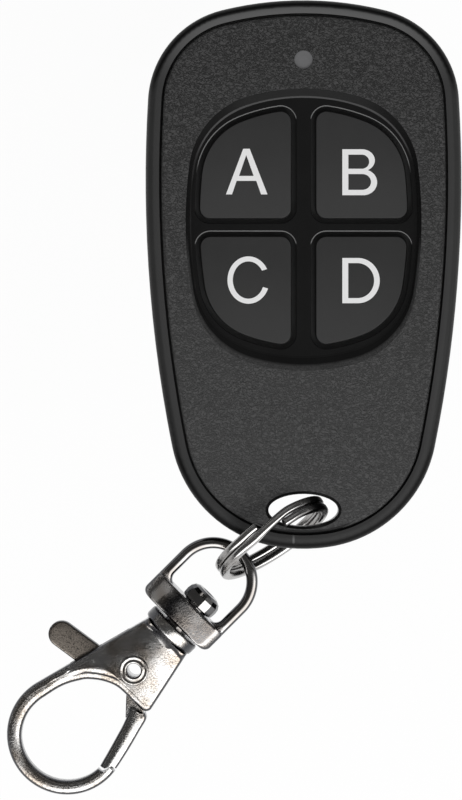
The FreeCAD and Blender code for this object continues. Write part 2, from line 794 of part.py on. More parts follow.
pad(cover, "bosses", drawing, f"{PLATE_LOW} + Sizes.cover_plate / 4 - ({BOARD_LOW})", Reversed=True)
drawing = Drawing(cover, "boss_bore_sketch", BOARD_LOW)
for screw_x, screw_y in SCREWS:
    drawing.circle("Sizes.screw_radius + Sizes.screw_play", screw_x, screw_y)
pocket(cover, "boss_bores", drawing, f"Sizes.cover_seat - ({BOARD_LOW}) - Sizes.flange_play", Reversed=True)
dress(cover, "Chamfer", "ring_hole_bevel", round_hole(above_seat, 99), "Sizes.hole_bevel")


def well_rim(edge):
    """Picks the edges where the wells open into the recess floor."""
    limits = edge.BoundBox
    level = limits.ZLength < 0.01 and abs(limits.ZMin - value("Sizes.recess_floor")) < 0.01
    inside = max(abs(limits.XMin), abs(limits.XMax)) < value("Sizes.well_width") / 2 + 0.01
    return level and inside and limits.YMax < value("Sizes.well_top") + 0.01 \
        and limits.YMin > value("Sizes.well_bottom") - 0.01


dress(cover, "Chamfer", "well_bevels", well_rim, "Sizes.well_bevel")


# Case screws: three alike, a pan head with a cross and a plain shank

screws = []
for number, (screw_x, screw_y) in enumerate(SCREWS, start=1):
    head = rod(f"screw_head_{number}", "Sizes.screw_head_radius", "Sizes.screw_head_height",
               screw_x, screw_y, "Sizes.screw_head_depth")
    shank = rod(f"screw_shank_{number}", "Sizes.screw_radius",
                "Sizes.screw_head_height + Sizes.screw_length", screw_x, screw_y, "Sizes.screw_head_depth")
    arms = [
        box(f"screw_cross_{number}_{turn}", *sides, "2 * Sizes.cross_depth",
            screw_x, screw_y, "Sizes.screw_head_depth - Sizes.cross_depth")
        for turn, sides in enumerate((("Sizes.cross_length", "Sizes.cross_width"),
                                      ("Sizes.cross_width", "Sizes.cross_length")))
    ]
    blank = fuse(f"screw_blank_{number}", head, shank)
    screws.append(cut(f"screw_{number}", blank, fuse(f"screw_cross_{number}", *arms)))
case_screws = group("case_screws", screws)


# Indicator: a light pipe with a flange under the cover

LENS_PEAK = (
    "Sizes.case_height - Sizes.crown_radius"
    " + sqrt(Sizes.crown_radius ^ 2 - (Sizes.lens_place + Sizes.lens_radius) ^ 2)"
)
LENS_LOW = f"{BOARD_TOP} + Sizes.led_height + Sizes.lens_gap"
lens = fuse(
    "led_lens",
    rod("lens_pipe", "Sizes.lens_radius", f"{LENS_PEAK} - Sizes.lens_sink - ({LENS_LOW})",
        "0", "Sizes.lens_place", LENS_LOW),
    rod("lens_flange", "Sizes.lens_flange_radius", "Sizes.lens_flange_thickness",
        "0", "Sizes.lens_place", f"{PLATE_LOW} - Sizes.lens_flange_thickness"),
)


# Keys: a cap that fills the well but for its gap, a flange under the floor and a post on the switch

keys = {}
for name, (hand, row) in KEYS.items():
    key = body(f"key_{name}")
    drawing = Drawing(key, "flange_sketch", FLANGE_LOW)
    draw_quarter(drawing, hand, row, "Sizes.key_gap - Sizes.flange_reach")
    pad(key, "flange", drawing, "Sizes.flange_thickness")
    drawing = Drawing(key, "cap_sketch", FLANGE_LOW)
    draw_quarter(drawing, hand, row, "Sizes.key_gap")
    pad(key, "cap", drawing, f"{KEY_TOP} - ({FLANGE_LOW})")
    drawing = Drawing(key, "post_sketch", f"{PLUNGER_TOP} + Sizes.key_post_play")
    drawing.circle("Sizes.key_post_radius", *key_centre(hand, row))
    pad(key, "post", drawing, f"{FLANGE_TOP} - ({PLUNGER_TOP}) - Sizes.key_post_play")
    top = value(KEY_TOP)
    dress(key, "Fillet", "rounding", lambda edge: abs(edge.BoundBox.ZMin - top) < 0.01, "Sizes.key_round")
    keys[name] = key


# Circuit board with its copper loop

board = body("circuit_board")
drawing = Drawing(board, "outline", BOARD_LOW)
BOARD_EDGE = shortened("Sizes.cavity_bottom")
draw_egg(drawing, BOARD_EDGE, BOARD_INSET)
pad(board, "plate", drawing, "Sizes.board_thickness")
drawing = Drawing(board, "boss_hole_sketch", BOARD_TOP)
for screw_x, screw_y in SCREWS:
    drawing.circle("Sizes.boss_radius + Sizes.boss_play", screw_x, screw_y)
pocket(board, "boss_holes", drawing, f"Sizes.board_thickness + {OVERSHOOT}")

trace = body("antenna_trace")
drawing = Drawing(trace, "outline", BOARD_TOP)
draw_egg(drawing, BOARD_EDGE, f"{BOARD_INSET} + Sizes.trace_margin")
draw_egg(drawing, BOARD_EDGE, f"{BOARD_INSET} + Sizes.trace_margin + Sizes.trace_width")
pad(trace, "loop", drawing, "Sizes.trace_height")
drawing = Drawing(trace, "break_sketch", f"{BOARD_TOP} + {OVERSHOOT}")
drawing.rectangle("-Sizes.trace_break / 2", f"Sizes.cavity_bottom - {OVERSHOOT}",
                  "Sizes.trace_break / 2", "Sizes.screw_bottom_place")
pocket(trace, "break", drawing, f"2 * {OVERSHOOT}")


# Snap switches under the keys: a tray, a steel cover, a snap dome and a plunger each

DOME_SPHERE = "(Sizes.dome_radius ^ 2 + Sizes.dome_rise ^ 2) / (2 * Sizes.dome_rise)"
DOME_SINK = f"({DOME_SPHERE}) - Sizes.dome_rise"


def dome_cap(name, inset, at_x, at_y):
    """The cap of a sphere that stands on the tray's floor."""
    reach = f"({DOME_SPHERE}) - {inset}"
    return solid("Sphere", name, {"Radius": reach, "Angle1": f"asin(({DOME_SINK}) / ({reach}))"},
                 (at_x, at_y, f"{BOARD_TOP} + Sizes.switch_floor - ({DOME_SINK})"))


switches = {}
for name, (hand, row) in KEYS.items():
    at_x, at_y = key_centre(hand, row)
    tray = box(f"switch_block_{name}", "Sizes.switch_side", "Sizes.switch_side",
               "Sizes.switch_housing_height", at_x, at_y, BOARD_TOP)
    well = rod(f"switch_well_{name}", "Sizes.switch_bore", "Sizes.switch_housing_height",
               at_x, at_y, f"{BOARD_TOP} + Sizes.switch_floor")
    plate = box(f"switch_plate_{name}", "Sizes.switch_side", "Sizes.switch_side",
                "Sizes.switch_cover_thickness", at_x, at_y, f"{BOARD_TOP} + Sizes.switch_housing_height")
    window = rod(f"switch_window_{name}", "Sizes.switch_cover_bore", "4 * Sizes.switch_cover_thickness",
                 at_x, at_y, f"{BOARD_TOP} + Sizes.switch_housing_height - Sizes.switch_cover_thickness")
    flange_top = f"{BOARD_TOP} + Sizes.switch_housing_height - Sizes.switch_play"
    stem = rod(f"plunger_stem_{name}", "Sizes.plunger_radius",
               f"{PLUNGER_TOP} - ({flange_top}) + Sizes.plunger_flange_thickness",
               at_x, at_y, f"{flange_top} - Sizes.plunger_flange_thickness")
    disc = rod(f"plunger_disc_{name}", "Sizes.plunger_flange_radius", "Sizes.plunger_flange_thickness",
               at_x, at_y, f"{flange_top} - Sizes.plunger_flange_thickness")
    dome = cut(f"switch_dome_{name}", dome_cap(f"dome_outside_{name}", "0", at_x, at_y),
               dome_cap(f"dome_inside_{name}", "Sizes.dome_thickness", at_x, at_y))
    switches[name] = {
        "housing": cut(f"switch_housing_{name}", tray, well),
        "cover": cut(f"switch_cover_{name}", plate, window),
        "dome": dome,
        "plunger": fuse(f"switch_plunger_{name}", stem, disc),
    }


# Chips on the board

def chip_with_leads(label, length, width, height, at_x, at_y, per_side, pitch):
    """A moulded block with its leads along both sides, sitting on the board."""
    block = box(f"{label}_block", length, width, height, at_x, at_y, BOARD_TOP)
    parts = [block]
    for side in (-1, +1):
        for place in range(per_side):
            shift = f"({place} - {(per_side - 1) / 2}) * ({pitch})"
            aside = f"{side} * (({width}) / 2 + (Sizes.lead_length - Sizes.lead_width) / 2)"
            parts.append(box(
                f"{label}_lead_{place}_{side + 1}", "Sizes.lead_width",
                "Sizes.lead_length + Sizes.lead_width", "Sizes.lead_width / 2",
                f"{at_x} + {shift}", f"{at_y} + {aside}", BOARD_TOP,
            ))
    return fuse(label, *parts)


CHIP_ROW = "Sizes.level_bar_place - Sizes.chip_length"
encoder = chip_with_leads("encoder_chip", "Sizes.chip_length", "Sizes.chip_width", "Sizes.chip_height",
                          "0", CHIP_ROW, 4, "Sizes.lead_pitch")
RF_ROW = "Sizes.well_top - Sizes.resonator_side / 2 - Sizes.passive_length"
resonator = box("saw_resonator", "Sizes.resonator_side", "Sizes.resonator_side", "Sizes.resonator_height",
                "0", RF_ROW, BOARD_TOP)
transistor = chip_with_leads("rf_transistor", "Sizes.transistor_length", "Sizes.transistor_width",
                             "Sizes.transistor_height", "0",
                             "Sizes.level_bar_place + Sizes.transistor_length", 2, "Sizes.lead_pitch")
PASSIVE_ROW = "Sizes.screw_bottom_place + Sizes.pillar_radius + Sizes.boss_radius"
resistors = group("chip_resistors", [
    box(f"resistor_{place}", "Sizes.passive_width", "Sizes.passive_length", "Sizes.passive_height",
        f"-({place} + 1.5) * Sizes.passive_pitch", PASSIVE_ROW, BOARD_TOP)
    for place in range(3)
])
capacitors = group("chip_capacitors", [
    box(f"capacitor_{place}", "Sizes.passive_width", "Sizes.passive_length", "1.4 * Sizes.passive_height",
        f"({place} + 1.5) * Sizes.passive_pitch", PASSIVE_ROW, BOARD_TOP)
    for place in range(3)
])
status_led = box("status_led", "Sizes.led_length", "Sizes.led_width", "Sizes.led_height",
                 "0", "Sizes.lens_place", BOARD_TOP)


# Coin cell under the board, flat side down, and its two contacts

CELL_TOP = f"{CELL_LOW} + Sizes.cell_height"
CAN_TOP = f"{CELL_LOW} + Sizes.can_height"
CAVITY_RADIUS = "Sizes.cell_radius - Sizes.can_wall"
cup = body("battery_can")
bind(cup, {"Placement.Base.y": "Sizes.cell_place", "Placement.Base.z": CELL_LOW})
drawing = Drawing(cup, "outline")
drawing.circle("Sizes.cell_radius")
pad(cup, "drum", drawing, "Sizes.can_height")
drawing = Drawing(cup, "hollow_sketch", "Sizes.can_height")
drawing.circle(CAVITY_RADIUS)
pocket(cup, "hollow", drawing, "Sizes.can_height - Sizes.can_wall")
dress(cup, "Fillet", "rounding", lambda edge: edge.BoundBox.ZMax < 0.01, "Sizes.can_round / 2")
core = rod("battery_core", f"{CAVITY_RADIUS} - Sizes.cell_play",
           "Sizes.can_height - 2 * Sizes.can_wall - 2 * Sizes.cell_play",
           "0", "Sizes.cell_place", f"{CELL_LOW} + Sizes.can_wall + Sizes.cell_play")
gasket = cut(
    "battery_gasket",
    rod("gasket_disc", f"{CAVITY_RADIUS} - Sizes.cell_play", "Sizes.can_wall", "0", "Sizes.cell_place",
        f"{CAN_TOP} - Sizes.can_wall"),
    rod("gasket_bore", "Sizes.cap_radius + Sizes.cell_play", "3 * Sizes.can_wall", "0", "Sizes.cell_place",
        f"{CAN_TOP} - 2 * Sizes.can_wall"),
)
cap = rod("battery_cap", "Sizes.cap_radius", f"{CELL_TOP} - ({CAN_TOP}) + Sizes.can_wall",
          "0", "Sizes.cell_place", f"{CAN_TOP} - Sizes.can_wall")
LEG_REACH = "Sizes.cell_radius + Sizes.clip_gap + Sizes.clip_thickness"
CLIP_LOW = "Sizes.rear_wall + Sizes.clip_lift"
strap = box("clip_strap", f"2 * ({LEG_REACH})", "Sizes.clip_width", "Sizes.clip_thickness",
            "0", "Sizes.cell_place", CLIP_LOW)
clip_parts = [strap]
for hand in (-1, +1):
    clip_parts.append(box(
        f"clip_leg_{hand + 1}", "Sizes.clip_thickness", "Sizes.clip_width", f"{BOARD_LOW} - ({CLIP_LOW})",
        f"{hand} * ({LEG_REACH} - Sizes.clip_thickness / 2)", "Sizes.cell_place", CLIP_LOW,
    ))
    clip_parts.append(box(
        f"clip_foot_{hand + 1}", "Sizes.clip_foot", "Sizes.clip_width", "Sizes.clip_thickness",
        f"{hand} * ({LEG_REACH} - Sizes.clip_thickness + Sizes.clip_foot / 2)", "Sizes.cell_place",
        f"{BOARD_LOW} - Sizes.clip_thickness",
    ))
clip = fuse("battery_clip", *clip_parts)
contact = box("battery_contact", "Sizes.contact_width", "Sizes.contact_length", "Sizes.contact_thickness",
              "0", "Sizes.cell_place", CELL_TOP)


# Split ring: one flat strand wound twice, stepping up a layer at its jog

def strand_section(angle, height):
    """The strand's section at an angle round the ring: a bar with its corners taken off."""
    wide, tall, corner = [value(f"Sizes.strand_{word}") for word in ("width", "height", "round")]
    middle = value("Sizes.ring_radius") - wide / 2
    quarter = [(wide / 2, tall / 2 - corner), (wide / 2 - corner, tall / 2)]
    half = quarter + [(-out, rise) for out, rise in quarter[::-1]]
    loop = half + [(out, -rise) for out, rise in half[::-1]]
    direction = Vector(math.cos(math.radians(angle)), math.sin(math.radians(angle)), 0)
    points = [direction * (middle + out) + Vector(0, 0, height + rise) for out, rise in loop]
    return Part.makePolygon(points + points[:1])


def split_ring_shape():
    """Two flat turns broken at the jog, joined by one ramp that climbs from the lower to the upper."""
    lift = (value("Sizes.strand_height") + value("Sizes.strand_gap")) / 2
    jog, place = value("Sizes.ring_jog"), value("Sizes.ring_jog_place")
    axis = Vector(0, 0, 1)
    turns = []
    for level, start in ((-lift, place + jog / 2), (lift, place + jog / 2)):
        face = Part.Face(strand_section(start, level))
        turns.append(face.revolve(Vector(0, 0, 0), axis, 360 - jog))
    steps = [-1.0, -0.5, 0.0, 0.5, 1.0]
    climb = [
        strand_section(place + step * jog / 2, lift * math.sin(step * math.pi / 2)) for step in steps
    ]
    ramp = Part.makeLoft(climb, True, True)
    return turns[0].fuse([ramp, turns[1]]).removeSplitter()


ring = doc.addObject("Part::Feature", "split_ring")
ring.Shape = split_ring_shape()
bind(ring, {"Placement": turned("Sizes.ring_x", "Sizes.ring_y", "Sizes.ring_z",
                                "Sizes.ring_yaw", "90 - Sizes.ring_tilt")})


# Clasp: every piece is drawn flat in the clasp's own plane and turned into place together

CLASP = turned("Sizes.clasp_x", "Sizes.clasp_y", "Sizes.clasp_z", "Sizes.clasp_yaw", "Sizes.clasp_tilt")


def on_clasp(item):
    return bind(item, {"Placement": CLASP})


def lengthwise(edge):
    """True for an edge of a flat piece's upper or lower outline."""
    return edge.BoundBox.ZLength < 0.01


# Swivel eye: a wire bow on a thick strap, which the rivet runs through

EYE_HALF = "Sizes.eye_width / 2"
EYE_MIDDLE = "Sizes.eye_shift"
STRAP_END = "Sizes.strap_start + Sizes.strap_length"


def draw_arch(drawing, half, shoulder, foot):
    """A half circle on two straight legs, closed across its foot."""
    reach, spring_line, low = value(half), value(shoulder), value(foot)
    middle = value(EYE_MIDDLE)
    near, far = middle - reach, middle + reach
    circle = Part.Circle(Vector(middle, spring_line, 0), Vector(0, 0, 1), reach)
    arc = drawing.add(Part.ArcOfCircle(circle, 0, math.pi))
    left = drawing.add(Part.LineSegment(Vector(near, spring_line, 0), Vector(near, low, 0)))
    base = drawing.add(Part.LineSegment(Vector(near, low, 0), Vector(far, low, 0)))
    right = drawing.add(Part.LineSegment(Vector(far, low, 0), Vector(far, spring_line, 0)))
    drawing.relate("Tangent", arc, 2, left, 1)
    drawing.relate("Coincident", left, 2, base, 1)
    drawing.relate("Coincident", base, 2, right, 1)
    drawing.relate("Tangent", right, 2, arc, 1)
    drawing.relate("Horizontal", base)
    drawing.measure("Radius", half, arc)
    drawing.place((arc, 3), EYE_MIDDLE, shoulder)
    drawing.measure("DistanceY", foot, -1, 1, base, 1)


eye = on_clasp(body("swivel_eye"))
drawing = Drawing(eye, "bow_sketch")
draw_arch(drawing, EYE_HALF, "Sizes.eye_leg_end", "Sizes.strap_start")
pad(eye, "bow", drawing, "Sizes.eye_wire_height", SideType="Symmetric")
drawing = Drawing(eye, "window_sketch")
draw_arch(drawing, f"{EYE_HALF} - Sizes.eye_wire", "Sizes.eye_leg_end", STRAP_END)
pocket(eye, "window", drawing, "2 * Sizes.eye_wire_height", SideType="Symmetric")
strap_end = value(STRAP_END)
dress(eye, "Fillet", "wire_rounding", lambda edge: lengthwise(edge) and edge.BoundBox.YMax > strap_end + 0.1,
      "Sizes.eye_round")
drawing = Drawing(eye, "strap_sketch")
drawing.rectangle(f"{EYE_MIDDLE} - {EYE_HALF}", "Sizes.strap_start",
                  f"{EYE_MIDDLE} + {EYE_HALF}", STRAP_END)
pad(eye, "strap", drawing, "Sizes.strap_depth", SideType="Symmetric")
dress(eye, "Fillet", "strap_rounding",
      lambda edge: abs(edge.BoundBox.YLength - value("Sizes.strap_length")) < 0.01
      and abs(edge.BoundBox.ZMax) > value("Sizes.strap_depth") / 2 - 0.1, "Sizes.strap_round")
drawing = Drawing(eye, "bore_sketch", "-(Sizes.strap_start + Sizes.strap_length / 2)", plane="XZ_Plane")
drawing.circle("Sizes.swivel_radius + Sizes.swivel_play")
pocket(eye, "bore", drawing, "1.5 * Sizes.strap_length", SideType="Symmetric")


# Swivel rivet: a headed pin fixed in the hook's neck, which the eye turns on

pin = on_clasp(body("swivel_rivet"))
HEAD_LOW = f"{STRAP_END} + Sizes.swivel_end_play"
drawing = Drawing(pin, "section")
drawing.polygon([
    ("0", "-Sizes.swivel_sink"),
    ("Sizes.swivel_radius", "-Sizes.swivel_sink"),
    ("Sizes.swivel_radius", HEAD_LOW),
    ("Sizes.swivel_head_radius", HEAD_LOW),
    ("Sizes.swivel_head_radius", f"{HEAD_LOW} + Sizes.swivel_head_height"),
    ("0", f"{HEAD_LOW} + Sizes.swivel_head_height"),
])
turn = shaped(pin, "Revolution", "turn", drawing, Angle=360.0)
turn.ReferenceAxis = (drawing.sketch, ["V_Axis"])
head_top = value(f"{HEAD_LOW} + Sizes.swivel_head_height")
dress(pin, "Fillet", "head_rounding", lambda edge: edge.BoundBox.YMin > head_top - 0.01,
      "Sizes.swivel_head_round")


# Hook: neck, forked body, and the loop that ends at the nose

hook = on_clasp(body("hook_body"))
loop_centre = Vector(0, value("Sizes.loop_centre_place"), 0)
loop_radius = value("Sizes.loop_radius")
shoulder = Vector(-value("Sizes.shoulder_left"), value("Sizes.shoulder_place"), 0)
to_shoulder = shoulder - loop_centre
turn_back = math.acos(loop_radius / to_shoulder.Length) + math.atan2(to_shoulder.y, to_shoulder.x)
touch = loop_centre + Vector(math.cos(turn_back), math.sin(turn_back), 0) * loop_radius
share = (shoulder.y - value("Sizes.hook_body_end")) / (shoulder.y - touch.y)
waist = shoulder + (touch - shoulder) * share
BODY_CORNERS = [
    ("-Sizes.shoulder_left", "Sizes.shoulder_place"),
    ("Sizes.shoulder_right", "Sizes.shoulder_place"),
    ("Sizes.tip_x + Sizes.tip_radius", "Sizes.tip_place"),
    ("Sizes.tip_x", "Sizes.tip_place - Sizes.tip_radius"),
    ("Sizes.throat_x", "Sizes.throat_place + Sizes.throat_radius"),
    ("Sizes.throat_x", "Sizes.throat_place"),
]


def cut_window(name, radius, text_x, text_y):
    drawing = Drawing(hook, f"{name}_sketch")
    drawing.circle(radius, text_x, text_y)
    pocket(hook, name, drawing, "2 * Sizes.hook_body_height", SideType="Symmetric")


THROAT = ("Sizes.throat_radius", "Sizes.throat_x", "Sizes.throat_place")
drawing = Drawing(hook, "loop_sketch")
drawing.circle("Sizes.loop_radius", "0", "Sizes.loop_centre_place")
pad(hook, "loop", drawing, "Sizes.hook_loop_height", SideType="Symmetric")
drawing = Drawing(hook, "web_sketch")
drawing.polygon(BODY_CORNERS[:2] + BODY_CORNERS[5:] + [("0", "Sizes.loop_centre_place"), (touch.x, touch.y)])
pad(hook, "web", drawing, "Sizes.hook_loop_height", SideType="Symmetric")
cut_window("bight", "Sizes.bight_radius", "0", "Sizes.loop_centre_place")
cut_window("loop_throat", *THROAT)
drawing = Drawing(hook, "mouth_sketch")
MOUTH_TOP = "Sizes.throat_place + Sizes.throat_radius - 2 * Sizes.tip_radius"
drawing.polygon([
    ("Sizes.nose_inner_x", "Sizes.nose_inner_place"),
    ("Sizes.nose_outer_x", "Sizes.nose_outer_place"),
    ("Sizes.nose_outer_x + Sizes.tip_radius", MOUTH_TOP),
    ("Sizes.nose_inner_x", MOUTH_TOP),
])
pocket(hook, "mouth", drawing, "2 * Sizes.hook_body_height", SideType="Symmetric")
dress(hook, "Fillet", "loop_rounding",
      lambda edge: lengthwise(edge) and edge.BoundBox.YMin < touch.y and edge.Length > 3.0,
      "Sizes.hook_round")
drawing = Drawing(hook, "body_sketch")
drawing.polygon(BODY_CORNERS + [(waist.x, waist.y)])
pad(hook, "body", drawing, "Sizes.hook_body_height", SideType="Symmetric")
drawing = Drawing(hook, "tip_sketch")
drawing.circle("Sizes.tip_radius", "Sizes.tip_x", "Sizes.tip_place")
pad(hook, "tip", drawing, "Sizes.hook_body_height", SideType="Symmetric")
cut_window("body_throat", *THROAT)
drawing = Drawing(hook, "neck_section")
drawing.rectangle("0", "Sizes.neck_start", "Sizes.neck_radius", "Sizes.neck_end")
turn = shaped(hook, "Revolution", "neck", drawing, Angle=360.0)
turn.ReferenceAxis = (drawing.sketch, ["V_Axis"])
drawing = Drawing(hook, "slot_sketch")
drawing.rectangle("-2 * Sizes.loop_radius", "Sizes.slot_end", "2 * Sizes.loop_radius", "Sizes.slot_start")
pocket(hook, "slot", drawing, "Sizes.slot_height", SideType="Symmetric")
drawing = Drawing(hook, "rivet_hole_sketch")
drawing.circle("Sizes.rivet_radius + Sizes.rivet_play", "Sizes.pivot_x", "Sizes.pivot_place")
pocket(hook, "rivet_hole", drawing, "2 * Sizes.hook_body_height", SideType="Symmetric")
drawing = Drawing(hook, "swivel_hole_sketch", "-Sizes.neck_end", plane="XZ_Plane")
drawing.circle("Sizes.swivel_radius + Sizes.swivel_fit")
SWIVEL_DEPTH = "Sizes.neck_end + Sizes.swivel_sink + Sizes.swivel_fit"
pocket(hook, "swivel_hole", drawing, f"2 * ({SWIVEL_DEPTH})", SideType="Symmetric")


# Gate: a plate between the hook's cheeks, with the thumb tab on one side and the thick arm on the other

def draw_bar(drawing, start, end, half):
    """A straight bar of a given half width from one place to another."""
    first = Vector(value(start[0]), value(start[1]), 0)
    last = Vector(value(end[0]), value(end[1]), 0)
    along = last - first
    along.normalize()
    aside = Vector(-along.y, along.x, 0) * value(half)
    corners = [first + aside, first - aside, last - aside, last + aside]
    drawing.polygon([(corner.x, corner.y) for corner in corners])


PIVOT = ("Sizes.pivot_x", "Sizes.pivot_place")
ARM_START = ("Sizes.arm_root_x", "Sizes.arm_root_place")
ARM_BEND = ("Sizes.arm_bend_x", "Sizes.arm_bend_place")
ARM_END = ("Sizes.arm_end_x", "Sizes.arm_end_place")
TAB_BEND = ("Sizes.tab_bend_x", "Sizes.tab_bend_place")
TAB_END = ("Sizes.tab_end_x", "Sizes.tab_end_place")
gate = on_clasp(body("gate_lever"))
for name, centre, radius in (
    ("hub", PIVOT, "Sizes.gate_hub_radius"),
    ("tab_bend", TAB_BEND, "Sizes.tab_half"),
    ("tab_end", TAB_END, "Sizes.tab_half"),
    ("arm_root", ARM_START, "Sizes.arm_half"),
):
    drawing = Drawing(gate, f"{name}_sketch")
    drawing.circle(radius, *centre)
    pad(gate, name, drawing, "Sizes.gate_plate", SideType="Symmetric")
for name, start, end, half, height in (
    ("tab_inner", PIVOT, TAB_BEND, "Sizes.tab_half", "Sizes.gate_plate"),
    ("tab_outer", TAB_BEND, TAB_END, "Sizes.tab_half", "Sizes.gate_plate"),
    ("arm_inner", PIVOT, ARM_START, "Sizes.arm_half", "Sizes.gate_plate"),
    ("arm_middle", ARM_START, ARM_BEND, "Sizes.arm_half", "Sizes.gate_arm_height"),
    ("arm_outer", ARM_BEND, ARM_END, "Sizes.arm_half", "Sizes.gate_arm_height"),
):
    drawing = Drawing(gate, f"{name}_sketch")
    draw_bar(drawing, start, end, half)
    pad(gate, name, drawing, height, SideType="Symmetric")
drawing = Drawing(gate, "bend_sketch")
drawing.circle("Sizes.arm_half", *ARM_BEND)
pad(gate, "arm_bend", drawing, "Sizes.gate_arm_height", SideType="Symmetric")
drawing = Drawing(gate, "end_sketch")
drawing.polygon([
    ("Sizes.nose_inner_x", "Sizes.nose_inner_place + Sizes.nose_gap"),
    ("Sizes.nose_outer_x", "Sizes.nose_outer_place + Sizes.nose_gap"),
    ("Sizes.nose_outer_x", "Sizes.nose_inner_place - Sizes.loop_radius"),
    ("Sizes.nose_inner_x", "Sizes.nose_inner_place - Sizes.loop_radius"),
])
pocket(gate, "end_cut", drawing, "2 * Sizes.gate_arm_height", SideType="Symmetric")
drawing = Drawing(gate, "bore_sketch")
drawing.circle("Sizes.rivet_radius + Sizes.gate_play", *PIVOT)
pocket(gate, "bore", drawing, "2 * Sizes.gate_plate", SideType="Symmetric")
drawing = Drawing(gate, "pocket_sketch", "Sizes.gate_plate / 2")
drawing.circle("Sizes.spring_pocket_radius", *PIVOT)
pocket(gate, "spring_pocket", drawing, "Sizes.spring_pocket_depth")


# Gate rivet: a hollow pin with a flange on each cheek, and the spring round it

RIVET_HALF = "Sizes.hook_body_height / 2 + Sizes.rivet_flange_height"
rivet_parts = [rod("rivet_tube", "Sizes.rivet_radius", f"2 * ({RIVET_HALF})", *PIVOT, f"-({RIVET_HALF})")]
for side in (-1, +1):
    flange_low = f"{side} * (Sizes.hook_body_height + Sizes.rivet_flange_height) / 2"
    rivet_parts.append(rod(
        f"rivet_flange_{side + 1}", "Sizes.rivet_flange_radius", "Sizes.rivet_flange_height",
        *PIVOT, f"{flange_low} - Sizes.rivet_flange_height / 2",
    ))
rivet_bore = rod("rivet_bore", "Sizes.rivet_bore", f"4 * ({RIVET_HALF})", *PIVOT, f"-2 * ({RIVET_HALF})")
rivet = on_clasp(cut("gate_rivet", fuse("rivet_blank", *rivet_parts), rivet_bore))
SPRING_LEVEL = "Sizes.gate_plate / 2 - Sizes.spring_pocket_depth + Sizes.spring_wire / 2 + Sizes.rivet_play"
spring = on_clasp(group("gate_spring", [solid(
    "Torus", "spring_coil",
    {"Radius1": "Sizes.spring_radius", "Radius2": "Sizes.spring_wire / 2", "Angle3": "Sizes.spring_turn"},
    (*PIVOT, SPRING_LEVEL),
)]))


# Every piece is tested before any is written

doc.recompute()
pieces = [rear, cover, case_screws, lens, *keys.values(), board, trace]
pieces += [part for parts in switches.values() for part in parts.values()]
pieces += [encoder, resonator, transistor, resistors, capacitors, status_led]
pieces += [cup, core, gasket, cap, clip, contact]
pieces += [ring, eye, pin, hook, gate, rivet, spring]
faulty = [item.Name for item in doc.Objects if {"Invalid", "Error"} & set(item.State)]
for piece in pieces:
    if piece.Shape.isNull() or not piece.Shape.isValid() or not piece.Shape.Solids:
        faulty.append(piece.Label)
if faulty:
    raise RuntimeError("faulty: " + ", ".join(faulty))
for piece in pieces:
    piece.Shape.exportStep(f"parts/{piece.Label}.step")
    limits = piece.Shape.BoundBox
    print(f"{piece.Label}: {len(piece.Shape.Solids)} solid, {piece.Shape.Volume:.2f} mm3,"
          f" z {limits.ZMin:.2f} to {limits.ZMax:.2f}")
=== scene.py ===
import json
import math

import bmesh
import bpy
import numpy as np
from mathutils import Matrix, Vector


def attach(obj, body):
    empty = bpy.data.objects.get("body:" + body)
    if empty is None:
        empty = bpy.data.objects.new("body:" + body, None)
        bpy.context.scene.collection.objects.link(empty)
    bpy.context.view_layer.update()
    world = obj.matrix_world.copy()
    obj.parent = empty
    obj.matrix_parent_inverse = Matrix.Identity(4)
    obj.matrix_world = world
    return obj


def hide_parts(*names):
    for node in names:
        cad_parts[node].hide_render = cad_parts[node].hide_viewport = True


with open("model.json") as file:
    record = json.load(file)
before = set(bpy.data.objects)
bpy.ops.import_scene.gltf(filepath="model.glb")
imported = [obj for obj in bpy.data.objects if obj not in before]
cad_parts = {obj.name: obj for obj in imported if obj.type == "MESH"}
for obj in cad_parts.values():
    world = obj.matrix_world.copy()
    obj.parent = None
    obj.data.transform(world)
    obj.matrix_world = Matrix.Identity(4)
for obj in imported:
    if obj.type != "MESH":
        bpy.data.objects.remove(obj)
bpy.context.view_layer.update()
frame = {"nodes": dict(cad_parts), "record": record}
nodes = frame["nodes"]
mm = 0.001  # sizes below are in millimetres where nothing else is said
print("frame loaded:", len(nodes), "nodes")


class Signal:
    # a shader output that adds a Math node for each operator used on it
    def __init__(self, shading, socket):
        self.shading = shading
        self.socket = socket

    def math(self, operation, *values):
        return self.shading.node("Math", {"operation": operation}, dict(enumerate(values)))

    def __add__(self, other):
        return self.math("ADD", self, other)

    def __radd__(self, other):
        return self.math("ADD", other, self)

    def __sub__(self, other):
        return self.math("SUBTRACT", self, other)

    def __rsub__(self, other):
        return self.math("SUBTRACT", other, self)

    def __mul__(self, other):
        return self.math("MULTIPLY", self, other)

    def __rmul__(self, other):
        return self.math("MULTIPLY", other, self)

    def __truediv__(self, other):
        return self.math("DIVIDE", self, other)

    def __rtruediv__(self, other):
        return self.math("DIVIDE", other, self)

    def __abs__(self):
        return self.math("ABSOLUTE", self)


